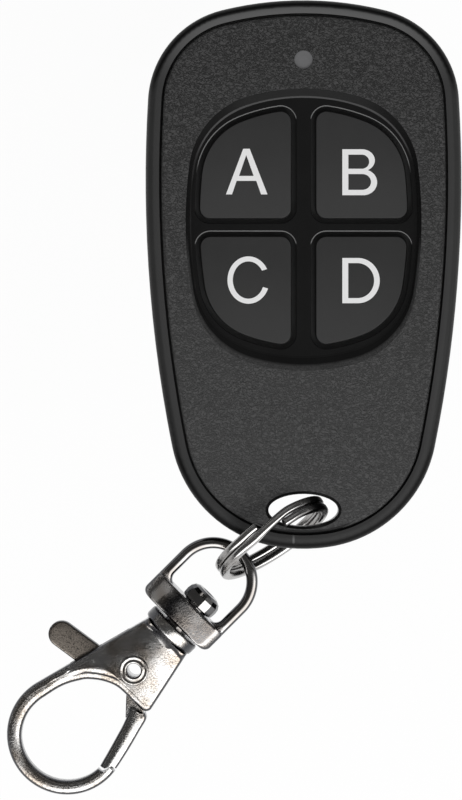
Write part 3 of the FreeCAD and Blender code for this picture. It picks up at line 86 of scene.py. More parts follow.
class Shading:
    # the nodes of a material or of the world
    def __init__(self, owner, output="OutputMaterial"):
        self.owner = owner
        owner.use_nodes = True
        self.tree = owner.node_tree
        self.tree.nodes.clear()
        self.output = self.tree.nodes.new("ShaderNode" + output)

    def node(self, kind, settings=None, inputs=None, output=0):
        # one node: its settings first, then the values or links of its sockets
        made = self.tree.nodes.new("ShaderNode" + kind)
        for key, setting in (settings or {}).items():
            setattr(made, key, setting)
        for key, given in (inputs or {}).items():
            if isinstance(given, Signal):
                self.tree.links.new(given.socket, made.inputs[key])
            else:
                made.inputs[key].default_value = given
        return Signal(self, made.outputs[output])

    def outputs(self, kind, names, inputs=None):
        # several outputs of one node
        made = self.node(kind, {}, inputs).socket.node
        return [Signal(self, made.outputs[name]) for name in names]

    def finish(self, surface):
        self.tree.links.new(surface.socket, self.output.inputs["Surface"])
        return self.owner

    def place(self):
        return self.node("TexCoord", output="Object")

    def split(self, vector):
        return self.outputs("SeparateXYZ", "XYZ", {0: vector})

    def axes(self):
        # the three object coordinates, in millimetres
        return [axis / mm for axis in self.split(self.place())]

    def facing(self):
        # the surface's own direction: each axis from -1 to 1
        return self.split(self.node("TexCoord", output="Normal"))

    def noise(self, size, detail=2.0, rough=0.5, distortion=0.0, place=None):
        # noise whose lumps are about size millimetres across
        return self.node("TexNoise", {}, {
            "Vector": place or self.place(), "Scale": 1 / (size * mm), "Detail": detail,
            "Roughness": rough, "Distortion": distortion,
        })

    def between(self, value, low, high):
        # 0 at low, 1 at high, smooth between them
        return self.node("MapRange", {"interpolation_type": "SMOOTHSTEP"}, {
            "Value": value, "From Min": low, "From Max": high,
        })

    def band(self, value, start, full, fading, end):
        # 1 from full to fading, smooth to 0 at start and at end
        return self.between(value, start, full) * self.between(value, end, fading)

    def blend(self, share, first, second):
        return self.node("Mix", {"data_type": "RGBA"}, {
            "Factor": share, "A": colourOf(first), "B": colourOf(second),
        }, output=2)

    def bump(self, height, strength, distance):
        return self.node("Bump", {}, {
            "Strength": strength, "Distance": distance * mm, "Height": height,
        })


def colourOf(given):
    # a single number stands for a grey
    if isinstance(given, Signal):
        return given
    return (given, given, given, 1) if isinstance(given, (int, float)) else (*given, 1)


def newShading(name):
    return Shading(bpy.data.materials.new(name))


knitLook = {"place": -1.18, "start": -30.6, "fade": 0.8, "edge": 0.19, "core": 0.05, "colour": 0.16}


def withKnitLine(shading, base, share):
    # adds the faint lighter line where the plastic met, upright at the ring end of the case
    x, y = shading.axes()[:2]
    line = shading.between(abs(x - knitLook["place"]), knitLook["edge"], knitLook["core"])
    line = line * shading.between(y, knitLook["start"], knitLook["start"] - knitLook["fade"])
    return shading.blend(line * share, base, knitLook["colour"])


mouldedLook = {"cloudSize": 4.0, "cloud": 0.12, "bump": 0.6, "uneven": 0.12}


def mouldedStart(shading, look):
    # the fine grain of moulded plastic, and its colour with a faint cloud in it
    grain = shading.noise(look["grainSize"], 3.0, 0.6)
    cloud = shading.noise(look["cloudSize"], 3.0, 0.5)
    darker, lighter = look["colour"] * (1 - look["cloud"]), look["colour"] * (1 + look["cloud"])
    return grain, shading.blend(cloud, darker, lighter)


def mouldedEnd(shading, look, grain, base):
    return shading.finish(shading.node("BsdfPrincipled", {}, {
        "Base Color": base,
        "Roughness": look["roughness"] + (grain - 0.5) * look["uneven"],
        "Normal": shading.bump(grain, look["bump"], look["grainDepth"]),
        "Specular IOR Level": look["specular"],
    }))


# the rim's painted light: a darker colour for painted shade on the end slopes, and a lighter lip colour with its
# shares for a painted highlight
caseLook = dict(
    mouldedLook, colour=0.026, roughness=0.36, specular=0.10, grainSize=0.16, grainDepth=0.008,
    knit=0.6, endSlopeShade=0.003, lip=0.050, lipHighlightLeast=0.12, lipHighlightMost=0.50, lipHighlightFade=(-30.0, -14.0),
    farLipHighlight=0.10, farHighlightFade=(22.0, 31.0),
)


def caseFinish(look):
    # painted light: the rim's flat lip is lighter, a painted highlight, most at the far end,
    # and its slope at both ends is darker, painted shade
    shading = newShading("casePlastic")
    grain, base = mouldedStart(shading, look)
    base = withKnitLine(shading, base, look["knit"])
    y = shading.axes()[1]
    facingY, facingZ = shading.facing()[1:]
    # masks for painted light: the slope takes painted shade and the lip takes a painted highlight
    slope = shading.between(facingZ, 0.985, 0.80) * shading.between(abs(facingY), 0.05, 0.25)
    lip = shading.between(facingZ, 0.90, 0.985)
    lipHighlightShare = shading.between(y, *look["lipHighlightFade"]) * (look["lipHighlightMost"] - look["lipHighlightLeast"]) + look["lipHighlightLeast"]
    base = shading.blend(slope, base, look["endSlopeShade"])
    base = shading.blend(lip * lipHighlightShare, base, look["lip"])
    base = shading.blend(lip * shading.between(y, *look["farHighlightFade"]), base, look["farLipHighlight"])
    return mouldedEnd(shading, look, grain, base)


# rows and lower give the keys' painted light from darker to lighter; side is the colour of their painted shade
keyLook = dict(
    mouldedLook, colour=0.0255, roughness=0.44, specular=0.20, grainSize=0.14, grainDepth=0.012,
    rows=((19.5, 6.5), (4.5, -9.0)), lower=1.45, side=0.006,
)


def keyFinish(look):
    # painted light: each row of keys turns from darker at its upper end to lighter at its lower end;
    # the sides are darker, painted shade
    shading = newShading("keyPlastic")
    grain, base = mouldedStart(shading, look)
    y, facingZ = shading.axes()[1], shading.facing()[2]
    for upper, lower in look["rows"]:
        there = shading.band(y, lower - 1.0, lower - 0.9, upper + 0.9, upper + 1.0)
        base = shading.blend(shading.between(y, upper, lower) * there, base, look["colour"] * look["lower"])
    base = shading.blend(shading.between(facingZ, 0.985, 0.93), base, look["side"])
    return mouldedEnd(shading, look, grain, base)


# recess is the floor's colour, partly its own and partly painted shade; the values for sloping walls set where
# their painted shade fades in
coverLook = {
    "face": 0.0455, "faceRoughness": 0.52, "recess": 0.0085, "recessRoughness": 0.24, "specular": 0.09,
    "creaseSize": 0.27, "poreSize": 0.11, "cloudSize": 5.0, "grainDepth": 0.10, "recessGrain": 0.04,
    # ends and the two values after it give the face's painted light, lighter towards the ring end
    "ends": (34.0, -34.0), "endLightShare": 0.55, "endLightLevel": 1.7, "knit": 0.35, "floorLevel": 11.0,
    "steepShade": (0.992, 0.955), "keyOval": (0.0, 5.3, 16.0, 18.4), "holeOval": (0.0, -27.9, 6.2, 3.0),
    # line and the lip, foot and well values set the painted highlight lines
    "line": 0.16, "lipHighlightFacing": (0.955, 0.97, 0.985, 0.995), "lipHighlightShare": 0.35,
    "footLevels": (10.80, 10.82, 10.86, 10.93), "footHighlightShare": 0.3,
    "wellLevels": (10.62, 10.70, 10.78, 10.80), "wellHighlightShare": 0.9,
}


def ovalMask(shading, x, y, oval):
    # 1 inside an oval of centre and half lengths, 0 outside it
    centreX, centreY, halfX, halfY = oval
    across, along = (x - centreX) / halfX, (y - centreY) / halfY
    return shading.between(across * across + along * along, 1.12, 0.98)


def coverFinish(look):
    # leather-like grain on the top face; the recess, its walls and the rounded edges are darker and glossier:
    # the recess floor's colour is partly its own and partly painted shade, and the dark walls are painted shade
    shading = newShading("coverPlastic")
    between = shading.between
    x, y, z = shading.axes()
    facingY, facingZ = shading.facing()[1:]
    # painted shade: the steeply sloping places are dark only near the keys and round the ring hole, not at the
    # cover's own rim; walls that face the far end count as less sloping and take less of it
    nearKeys = ovalMask(shading, x, y, look["keyOval"])
    nearHole = ovalMask(shading, x, y, look["holeOval"])
    eased = facingZ + between(facingY, -0.02, 0.20) * 0.055
    # the wall at the ring end is kept out of the painted shade down to half its height
    upper = between(facingY, 0.02, 0.10) * between(z, 11.30, 11.62) * nearKeys
    steepShade = between(eased, *look["steepShade"]) * (nearKeys + nearHole) * (1 - upper)
    face = between(z, look["floorLevel"], look["floorLevel"] + 0.12) * (1 - steepShade)
    # painted highlights, thin light lines where an edge turns towards the ring end: the lip of the recess,
    # its foot and the wells
    turned = between(facingY, -0.08, -0.22) * nearKeys
    lip = shading.band(facingZ, *look["lipHighlightFacing"]) * look["lipHighlightShare"]
    foot = shading.band(z, *look["footLevels"]) * look["footHighlightShare"]
    well = shading.band(z, *look["wellLevels"]) * look["wellHighlightShare"]
    # creases lie where a stretched noise passes through its middle value; fine pores lie between them
    stretched = shading.node("Mapping", {}, {
        "Vector": shading.place(), "Scale": (0.62, 1.0, 1.0), "Rotation": (0.0, 0.0, 0.25),
    })
    warp = shading.noise(look["creaseSize"], 3.0, 0.55, 0.9, stretched)
    crease = between(abs(warp - 0.5), 0.0, 0.08)
    relief = crease * 0.5 + shading.noise(look["poreSize"], 2.0, 0.6) * 0.55
    reliefShare = face * (1 - look["recessGrain"]) + look["recessGrain"]
    cloud = shading.noise(look["cloudSize"], 3.0, 0.5)
    faceColour = shading.blend(between(relief, 0.45, 0.90), look["face"] * 0.55, look["face"] * 1.45)
    # painted light: the face grows lighter from the far end to the ring end
    lighter = between(y, *look["ends"]) * look["endLightShare"]
    faceColour = shading.blend(lighter, faceColour, look["face"] * look["endLightLevel"])
    faceColour = withKnitLine(shading, faceColour, look["knit"])
    # the recess floor: partly its own darker glossy finish and partly painted shade
    floorColour = shading.blend(cloud, look["recess"] * 0.85, look["recess"] * 1.2)
    base = shading.blend(face, floorColour, faceColour)
    # the light lines are laid over the base colour as painted highlights
    return shading.finish(shading.node("BsdfPrincipled", {}, {
        "Base Color": shading.blend((lip + foot + well) * turned, base, look["line"]),
        "Roughness": look["recessRoughness"] + face * (look["faceRoughness"] - look["recessRoughness"]),
        "Normal": shading.bump(relief * reliefShare, 1.0, look["grainDepth"]),
        "Specular IOR Level": look["specular"],
    }))


def plain(name, colour, roughness, metallic=0.0, grain=0.0, size=0.4):
    # a simple finish with a faint noise in colour and gloss, for small and inner pieces
    shading = newShading(name)
    cloud = shading.noise(size, 3.0, 0.6)
    darker, lighter = [[part * (1 + sign * grain) for part in colour] for sign in (-1, 1)]
    return shading.finish(shading.node("BsdfPrincipled", {}, {
        "Base Color": shading.blend(cloud, darker, lighter),
        "Roughness": roughness + (cloud - 0.5) * 0.15,
        "Metallic": metallic,
        "Normal": shading.bump(cloud, 0.2, 0.01),
    }))


# side is the colour of the painted dark reflection on steeply sloping faces; the two values after it set where
# it fades in, and sides its share
nickelLook = {
    "bright": (0.86, 0.85, 0.835), "warm": (0.60, 0.52, 0.44), "dark": (0.13, 0.115, 0.105),
    "side": (0.072, 0.073, 0.078), "steepShade": (0.89, 0.66), "sides": 1.0, "roughness": 0.05,
    "speckle": 1.0, "speckSize": 0.18, "cloudSize": 2.6, "clear": 0.4, "pit": 0.75, "peelSize": 0.9, "peel": 0.5,
}
hookLook = dict(nickelLook, peel=0.15)
ringLook = dict(nickelLook, roughness=0.19, speckle=0.25, sides=0.62)
leverLook = dict(
    nickelLook, roughness=0.07, speckle=0.85, dullFrom=-49.5, dull=(0.32, 0.282, 0.243),
    dullDark=(0.04, 0.035, 0.03),
)
# stretches are painted dark reflections on the strap, as (from, to, share) along the clasp's own X axis
eyeLook = dict(
    nickelLook, bright=(0.74, 0.73, 0.72), warm=(0.46, 0.40, 0.35), dark=(0.12, 0.105, 0.095),
    steepShade=(0.84, 0.60), roughness=0.04, speckle=0.85, speckSize=0.15, pit=0.7, peel=0.2,
    darkReflection=(0.026, 0.027, 0.032), stretches=((-2.7, -1.5, 0.92), (-1.5, 2.0, 0.4), (2.0, 4.6, 0.75)),
    warmFade=(-2.2, 0.8), warmShare=0.65, satinFade=(-3.0, -4.0), satin=0.38,
    strapFade=(5.0, 4.4), wire=0.30, wireShare=0.45, wireSpecks=0.15,
)
claspPlace = {"origin": (-15.83, -42.47, 3.58), "yaw": -45.0, "tip": 4.4}


def claspAxes(shading):
    # millimetres along the clasp's own X and Y axes, counted from the swivel; the clasp lies at 45 degrees
    x, y = shading.axes()[:2]
    east, north = x - claspPlace["origin"][0], y - claspPlace["origin"][1]
    return (east - north) * math.sqrt(0.5), (east + north) * math.sqrt(0.5)


def darkNickel(name, look):
    # nickel over a cast blank: the steeply sloping sides are painted dark, a painted reflection, and the rest is
    # bright with a brownish cloud of fine specks, and a shallow orange peel bends the reflections
    shading = newShading(name)
    facingZ = shading.facing()[2]
    # the painted dark reflection on the steeply sloping sides
    steepShade = shading.between(abs(facingZ), *look["steepShade"]) * look["sides"]
    specks = shading.between(shading.noise(look["speckSize"], 4.0, 0.75), 0.44, 0.66)
    cloud = shading.between(shading.noise(look["cloudSize"], 1.0, 0.4), 0.30, 0.72)
    base = shading.blend(cloud * look["speckle"], look["bright"], look["warm"])
    mask = specks * (cloud * (1 - look["clear"]) + look["clear"]) * look["speckle"]
    pits = specks * look["speckle"] * look["pit"]
    gloss = look["roughness"]
    if "stretches" in look:
        # the wire is greyer and has few specks; the flat of the strap has darker stretches along it, painted
        # dark reflections, and warm specks, and one end of it is satin
        along, up = claspAxes(shading)
        strap = shading.between(up, *look["strapFade"])
        sparse = strap * (1 - look["wireSpecks"]) + look["wireSpecks"]
        mask, pits = mask * sparse, pits * sparse
        base = shading.blend((1 - strap) * look["wireShare"], base, look["wire"])
        flat = strap * shading.between(facingZ, 0.86, 0.94)
        wavy = along + (shading.noise(1.8) - 0.5) * 2.2
        # the painted dark reflections across the strap's flat
        for low, high, share in look["stretches"]:
            stretch = shading.band(wavy, low - 0.8, low + 0.5, high - 0.5, high + 0.8)
            base = shading.blend(stretch * flat * share, base, look["darkReflection"])
        mask = mask * (1 - flat)
        warmed = flat * shading.between(along, *look["warmFade"]) * specks * look["warmShare"]
        base = shading.blend(warmed, base, look["warm"])
        gloss = gloss + flat * shading.between(wavy, *look["satinFade"]) * look["satin"]
    base = shading.blend(mask, base, look["dark"])
    gloss = gloss + mask * 0.10
    if "dullFrom" in look:
        # the part of the piece above this place along Y is worn and dull
        dull = shading.between(shading.axes()[1], look["dullFrom"], look["dullFrom"] + 2.0)
        base = shading.blend(dull, base, shading.blend(specks, look["dull"], look["dullDark"]))
        gloss = gloss + dull * 0.25
    ripple = shading.noise(look["peelSize"])
    return shading.finish(shading.node("BsdfPrincipled", {}, {
        "Base Color": shading.blend(steepShade, base, look["side"]),
        "Metallic": 1.0,
        "Roughness": gloss,
        "Normal": shading.bump(ripple * look["peel"] + pits, 0.5, 0.02),
    }))


# the inner pieces' finishes by slot: material name, colour, roughness, metallic, grain
innerLooks = {
    "board_laminate": ("boardLaminate", (0.02, 0.16, 0.06), 0.35, 0.0, 0.1),
    "copper": ("tinnedCopper", (0.62, 0.36, 0.14), 0.35, 1.0, 0.1),
    "chip_plastic": ("chipEpoxy", (0.02, 0.02, 0.02), 0.5, 0.0, 0.2),
    "ceramic": ("chipCeramic", (0.7, 0.64, 0.52), 0.5, 0.0, 0.1),
    "resonator_metal": ("platedCan", (0.6, 0.6, 0.58), 0.25, 1.0, 0.05),
    "led_plastic": ("indicatorChip", (0.7, 0.1, 0.08), 0.2, 0.0, 0.05),
    "switch_plastic": ("switchNylon", (0.03, 0.03, 0.03), 0.5, 0.0, 0.2),
    "contact_steel": ("springSteel", (0.62, 0.61, 0.58), 0.28, 1.0, 0.08),
    "cell_steel": ("cellSteel", (0.66, 0.66, 0.66), 0.22, 1.0, 0.05),
    "cell_mass": ("electrodeStack", (0.06, 0.06, 0.065), 0.8, 0.0, 0.3),
    "gasket_plastic": ("cellGasket", (0.08, 0.08, 0.1), 0.5, 0.0, 0.1),
    "screw_steel": ("screwSteel", (0.5, 0.5, 0.5), 0.3, 1.0, 0.1),
}
finishes = {
    "case_plastic": caseFinish(caseLook),
    "cover_plastic": coverFinish(coverLook),
    "key_plastic": keyFinish(keyLook),
    "lens_plastic": plain("lensPlastic", (0.128, 0.128, 0.131), 0.22, grain=0.08, size=0.5),
    "dark_nickel": darkNickel("hookNickel", hookLook),
}
finishes.update({slot: plain(*look) for slot, look in innerLooks.items()})
letterInk = plain("letterInk", (0.71, 0.71, 0.71), 0.5, grain=0.04, size=0.25)
ringNickel = darkNickel("ringNickel", ringLook)
eyeNickel = darkNickel("eyeNickel", eyeLook)
leverNickel = darkNickel("leverNickel", leverLook)
slotOf = {part["node"]: part["material_slot"] for part in frame["record"]["subparts"]}
for nodeName, node in nodes.items():
    node.data.materials.clear()
    node.data.materials.append(finishes[slotOf[nodeName]])
print("finishes set")


def gridFaces(rows, columns, closedRows=False):
    # a quad for each cell of a stack of rings that is numbered ring by ring
    steps = rows if closedRows else rows - 1
    row, column = np.meshgrid(np.arange(steps), np.arange(columns), indexing="ij")
    here, below = row * columns, (row + 1) % rows * columns
    beside = (column + 1) % columns
    return np.stack([here + column, below + column, below + beside, here + beside], -1).reshape(-1, 4).tolist()


def tube(grid):
    # a stack of rings with a face over each end
    rows, columns = grid.shape[:2]
    ends = [list(range(columns)), list(range((rows - 1) * columns, rows * columns))]
    return grid.reshape(-1, 3), gridFaces(rows, columns) + ends


def ringTube(grid):
    # a stack of rings whose last one joins the first
    return grid.reshape(-1, 3), gridFaces(*grid.shape[:2], closedRows=True)


def cleaned(mesh):
    # doubles merged, then every closed shell turned to face outward
    work = bmesh.new()
    work.from_mesh(mesh)
    bmesh.ops.remove_doubles(work, verts=work.verts, dist=1e-7)
    bmesh.ops.recalc_face_normals(work, faces=work.faces)
    work.to_mesh(mesh)
    work.free()
    return mesh


def meshFrom(name, *shells):
    # each shell is (points, faces), with the points in millimetres
    mesh = bpy.data.meshes.new(name)
    points, faces, start = [], [], 0
    for shellPoints, shellFaces in shells:
        points.append(shellPoints)
        faces += [[start + index for index in face] for face in shellFaces]
        start += len(shellPoints)
    mesh.from_pydata((np.concatenate(points) * mm).tolist(), [], faces)
    return cleaned(mesh)


def joined(name, *meshes):
    # several meshes as one
    work = bmesh.new()
    for mesh in meshes:
        work.from_mesh(mesh)
    made = bpy.data.meshes.new(name)
    work.to_mesh(made)
    work.free()
    return made


def placed(name, data):
    made = bpy.data.objects.new(name, data)
    bpy.context.scene.collection.objects.link(made)
    return made


def meshOf(shown):
    # the mesh that an object shows, with its modifiers or its curve worked out
    return bpy.data.meshes.new_from_object(shown.evaluated_get(bpy.context.evaluated_depsgraph_get()))


def makePiece(name, mesh, material, body, replaced=(), sharp=40):
    # one smooth-shaded object that rides a body and stands for the nodes it replaces
    mesh.shade_smooth()
    mesh.set_sharp_from_angle(angle=math.radians(sharp))
    mesh.materials.append(material)
    piece = placed(name, mesh)
    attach(piece, body)
    if replaced:
        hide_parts(*replaced)


def turnedFrame(place, yaw, roll):
    # axes turned about X by roll and then about Z by yaw, both in degrees
    yaw, roll = math.radians(yaw), math.radians(roll)
    aboutZ = [[math.cos(yaw), -math.sin(yaw), 0], [math.sin(yaw), math.cos(yaw), 0], [0, 0, 1]]
    aboutX = [[1, 0, 0], [0, math.cos(roll), -math.sin(roll)], [0, math.sin(roll), math.cos(roll)]]
    turn = np.array(aboutZ) @ np.array(aboutX)
    return lambda points: np.asarray(points) @ turn.T + np.array(place)


def cutMesh(name, base, *cutters):
    # the base mesh less the cutters, worked out now so that the piece keeps no modifier
    body = placed(name, base)
    tools = [placed("cutter", cutter) for cutter in cutters]
    for tool in tools:
        modifier = body.modifiers.new("cut", "BOOLEAN")
        modifier.operation = "DIFFERENCE"
        modifier.solver = "EXACT"
        modifier.object = tool
    bpy.context.view_layer.update()
    mesh = meshOf(body)
    for spare in [body, *tools]:
        bpy.data.objects.remove(spare)
    mesh.materials.clear()
    return mesh


def roundedBar(halfWidth, halfHeight, corner, steps):
    # the outline of a bar's section: a rectangle whose corners are quarter circles
    turn = np.linspace(0, math.pi / 2, steps)
    quarters = []
    for quarter, (signX, signY) in enumerate(((1, 1), (-1, 1), (-1, -1), (1, -1))):
        angle = turn + quarter * math.pi / 2
        centre = np.array([signX * (halfWidth - corner), signY * (halfHeight - corner)])
        quarters.append(centre + corner * np.stack([np.cos(angle), np.sin(angle)], -1))
    return np.concatenate(quarters)


def turnedProfile(profile, steps):
    # (radius, height) pairs carried round a circle: two sides, by cosine and by sine, and the height
    radius, height = np.array(profile).T[:, :, None]
    angle = np.linspace(0, 2 * math.pi, steps, endpoint=False)
    return radius * np.cos(angle), radius * np.sin(angle), height + 0 * angle


def lathe(profile, steps):
    # a profile turned about the clasp's Y axis
    across, up, along = turnedProfile(profile, steps)
    return np.stack([across, along, up], -1)


def upright(profile, centre, steps=72):
    # a profile turned about an upright line of the clasp
    across, along, up = turnedProfile(profile, steps)
    return np.stack([centre[0] + across, centre[1] + along, up], -1)


def smooth(value, low, high):
    # 0 at low, 1 at high, and a cubic with level ends between them
    share = np.clip((value - low) / (high - low), 0, 1)
    return share * share * (3 - 2 * share)


def quarterDrop(radius, reach):
    # how far a quarter circle has fallen away at this reach from its crown
    return radius - np.sqrt(radius ** 2 - reach ** 2)


def around(centre, radius, degrees):
    # points round a centre, at one radius or at one for each angle
    angle = np.radians(degrees)
    return np.array(centre) + np.reshape(radius, (-1, 1)) * np.stack([np.cos(angle), np.sin(angle)], -1)


def alongPath(path):
    # a path's unit direction at each of its points
    step = np.gradient(path, axis=0)
    return step / np.linalg.norm(step, axis=1)[:, None]


def leftOfPath(path):
    # a flat path's unit normal on its left at each of its points
    along = alongPath(path)
    return np.stack([-along[:, 1], along[:, 0]], -1)


def curveThrough(points, count):
    # cubic pieces through the points, each slope taken from the neighbours on both sides
    given = np.array(points, float)
    padded = np.concatenate([2 * given[:1] - given[1:2], given, 2 * given[-1:] - given[-2:-1]])
    where = np.linspace(0, len(given) - 1, count)
    first = np.minimum(where.astype(int), len(given) - 2)
    u = (where - first)[:, None]
    a, b, c, d = [padded[first + step] for step in range(4)]
    slope, bend, twist = c - a, 2 * a - 5 * b + 4 * c - d, 3 * b - a - 3 * c + d
    return 0.5 * (2 * b + slope * u + bend * u ** 2 + twist * u ** 3)


def spread(path, count):
    # the path's points moved so that they are evenly spaced along it
    steps = np.concatenate([[0], np.cumsum(np.linalg.norm(np.diff(path, axis=0), axis=1))])
    wanted = np.linspace(0, steps[-1], count)
    return np.stack([np.interp(wanted, steps, path[:, i]) for i in range(path.shape[1])], -1)


# letters are drawn with x to the right and y downwards from an origin; scale makes that millimetres
letterSize = {"low": 10.69, "high": 10.725, "scale": 0.11872, "originX": 303.3, "originY": 274.8}


def ellipseArc(x, y, radiusX, radiusY, start, end, count):
    # part of an ellipse, from one angle in degrees to another
    angle = np.radians(np.linspace(start, end, count))
    return np.stack([x + radiusX * np.cos(angle), y - radiusY * np.sin(angle)], -1).tolist()


letterShapes = {
    "a": [
        [(226, 195), (243.2, 149.5), (249.6, 149.5), (267.4, 195), (261, 195), (256.2, 181.5),
         (236.6, 181.5), (232, 195)],
        [(246.2, 155.8), (239, 176.6), (253.6, 176.6)],
    ],
    "b": [
        [(342, 195.8), (342, 150)] + ellipseArc(361.5, 161, 12.9, 11, 90, -62, 30)
        + ellipseArc(363, 183, 13.7, 12.8, 62, -90, 34),
        [(348.0, 155.35)] + ellipseArc(361.5, 162.4, 7.3, 7.05, 90, -90, 24) + [(348.0, 169.45)],
        [(348.0, 174.7)] + ellipseArc(362, 182.6, 8.6, 7.9, 90, -90, 24) + [(348.0, 190.5)],
    ],
    "c": [
        ellipseArc(248.4, 280.4, 20.9, 23.6, 27.5, 339, 70)
        + ellipseArc(248.4, 280.4, 15.6, 18.6, 338, 30.5, 60),
    ],
    "d": [
        [(342, 303.5), (342, 258.4)] + ellipseArc(357.5, 280.95, 21.8, 22.55, 90, -90, 50),
        [(347.9, 263.5)] + ellipseArc(357.2, 280.95, 16.5, 17.45, 90, -90, 44) + [(347.9, 298.4)],
    ],
}


def letterMesh(name, outlines, size):
    # flat outlines, the first one filled and the others left open, raised into a thin slab
    curve = bpy.data.curves.new(name, "CURVE")
    curve.dimensions = "2D"
    curve.fill_mode = "BOTH"
    curve.extrude = (size["high"] - size["low"]) / 2 * mm
    for outline in outlines:
        flat = np.array(outline, float)
        across = (flat[:, 0] - size["originX"]) * size["scale"] * mm
        along = (size["originY"] - flat[:, 1]) * size["scale"] * mm
        spline = curve.splines.new("POLY")
        spline.points.add(len(flat) - 1)
        spline.points.foreach_set("co", np.stack([across, along, 0 * across, 1 + 0 * across], -1).ravel())
        spline.use_cyclic_u = True
    drawn = placed(name, curve)
    mesh = meshOf(drawn)
    bpy.data.objects.remove(drawn)
    bpy.data.curves.remove(curve)
    points = np.empty(len(mesh.vertices) * 3)
    mesh.vertices.foreach_get("co", points)
    points[2::3] += (size["high"] + size["low"]) / 2 * mm
    mesh.vertices.foreach_set("co", points)
    return cleaned(mesh)


for letter, outlines in letterShapes.items():
    letterName = "keyLetter" + letter.upper()
    letterPiece = letterMesh(letterName, outlines, letterSize)
    makePiece(letterName, letterPiece, letterInk, "key_" + letter, sharp=30)
print("letters made")

ringSize = {
    "place": (-3.72, -31.25, 7.5), "yaw": 33.45, "tilt": 13.0, "radius": 7.5, "width": 1.1, "height": 0.95,
    "gap": 0.05, "corner": 0.34, "jog": 25.0, "jogPlace": 84.0, "jogHalf": 21.0, "jogEase": 0.22,
    "splay": 0.2, "splayLength": 24.0, "steps": 300,
}


def ringStrand(size):
    # the strand goes round twice: its radius stays, and its level steps to the other layer over the jog
    # along a straight slope whose two ends are eased by a hyperbola; the free ends stand off a little
    start = size["jogPlace"] + size["jog"] / 2
    degrees = np.linspace(start, start + 720 - size["jog"], size["steps"])
    turn = (degrees - start - 360 + size["jog"] / 2) / size["jogHalf"]
    climb = (np.hypot(turn + 1, size["jogEase"]) - np.hypot(turn - 1, size["jogEase"])) / 2
    lift = (size["height"] + size["gap"]) / 2 * climb
    lift -= size["splay"] * (1 - smooth(degrees - degrees[0], 0, size["splayLength"]))
    lift += size["splay"] * (1 - smooth(degrees[-1] - degrees, 0, size["splayLength"]))
    profile = roundedBar(size["width"] / 2, size["height"] / 2, size["corner"], 7)
    angle = np.radians(degrees)[:, None]
    reach = size["radius"] - size["width"] / 2 + profile[:, 0]
    return np.stack([reach * np.cos(angle), reach * np.sin(angle), lift[:, None] + profile[:, 1]], -1)


toRing = turnedFrame(ringSize["place"], ringSize["yaw"], 90 - ringSize["tilt"])
strandPoints, strandFaces = tube(ringStrand(ringSize))
strandMesh = meshFrom("splitRingStrand", (toRing(strandPoints), strandFaces))
makePiece("splitRingStrand", strandMesh, ringNickel, "ring", ["split_ring"], sharp=50)
print("split ring made")

# the clasp's own axes: X across towards the gate, Y along towards the ring, origin at the swivel
toClasp = turnedFrame(claspPlace["origin"], claspPlace["yaw"], claspPlace["tip"])


def claspShell(grid, closer=tube):
    points, faces = closer(grid)
    return toClasp(points), faces


eyeSize = {
    "shift": -0.6, "half": 5.3, "legStart": 3.3, "legEnd": 7.9, "wireHalf": 0.68, "wireHalfHeight": 0.9,
    "wireCorner": 0.82, "fillet": 1.05, "strapStart": 1.25, "strapEnd": 4.3, "strapHalfHeight": 2.7,
    "strapCorner": 1.2, "strapRound": 0.34, "planRound": 0.85, "strapCrown": 0.42, "bore": 1.68,
}


def eyeStrap(size):
    # a rounded section in X and Z whose top falls away to the sides by a parabola, carried along Y and
    # drawn in by a quarter circle at both ends, a wide one in plan at the hook's end
    turn = np.linspace(0, math.pi / 2, 9)
    rounding = size["strapRound"]
    stations = []
    for end, way, wide in ((size["strapStart"], 1, size["planRound"]), (size["strapEnd"], -1, rounding)):
        reach, aside = wide * (1 - np.sin(turn)), wide * (1 - np.cos(turn))
        down = quarterDrop(rounding, np.clip(rounding - reach, 0, None))
        stations += list(zip(end + way * reach, aside, down))[::-way]
    rings = []
    for place, aside, down in stations:
        halfWidth, halfHeight = size["half"] - aside, size["strapHalfHeight"] - down
        across, up = roundedBar(halfWidth, halfHeight, size["strapCorner"] - down, 14).T
        up = up * (1 - size["strapCrown"] * (across / size["half"]) ** 2)
        rings.append(np.stack([across + size["shift"], place + 0 * across, up], -1))
    return np.stack(rings)


def eyeBow(size, steps=40):
    # a rounded wire up one leg, over the half circle and down the other; a quarter circle fills the inner
    # corner where each leg meets the strap
    middle = size["half"] - size["wireHalf"]
    leg = np.linspace(size["legStart"], size["legEnd"], steps, endpoint=False)
    right = np.stack([0 * leg + middle, leg], -1)
    over = around((0, size["legEnd"]), middle, np.linspace(0, 180, 2 * steps))
    path = np.concatenate([right, over, right[::-1] * np.array([-1, 1])])
    outward = -leftOfPath(path)
    short = size["fillet"] - np.clip(path[:, 1] - size["strapEnd"], 0, size["fillet"])
    extra = quarterDrop(size["fillet"], short)
    half = size["wireHalf"] + extra / 2
    path = path - outward * (extra / 2)[:, None]
    section = roundedBar(1, 1, size["wireCorner"], 8)
    across = path[:, None, :] + outward[:, None, :] * (section[:, 0] * half[:, None])[:, :, None]
    up = section[:, 1] * (size["wireHalfHeight"] + 0 * half[:, None])
    return np.concatenate([across + np.array([size["shift"], 0]), up[:, :, None]], -1)


boreGrid = lathe([(eyeSize["bore"], -1.0), (eyeSize["bore"], 7.0)], 48)
strapMesh = cutMesh("strap", meshFrom("strap", claspShell(eyeStrap(eyeSize))),
                    meshFrom("bore", claspShell(boreGrid)))
bowMesh = meshFrom("bow", claspShell(eyeBow(eyeSize)))
makePiece("swivelEye", joined("swivelEye", strapMesh, bowMesh), eyeNickel, "eye", ["swivel_eye"])

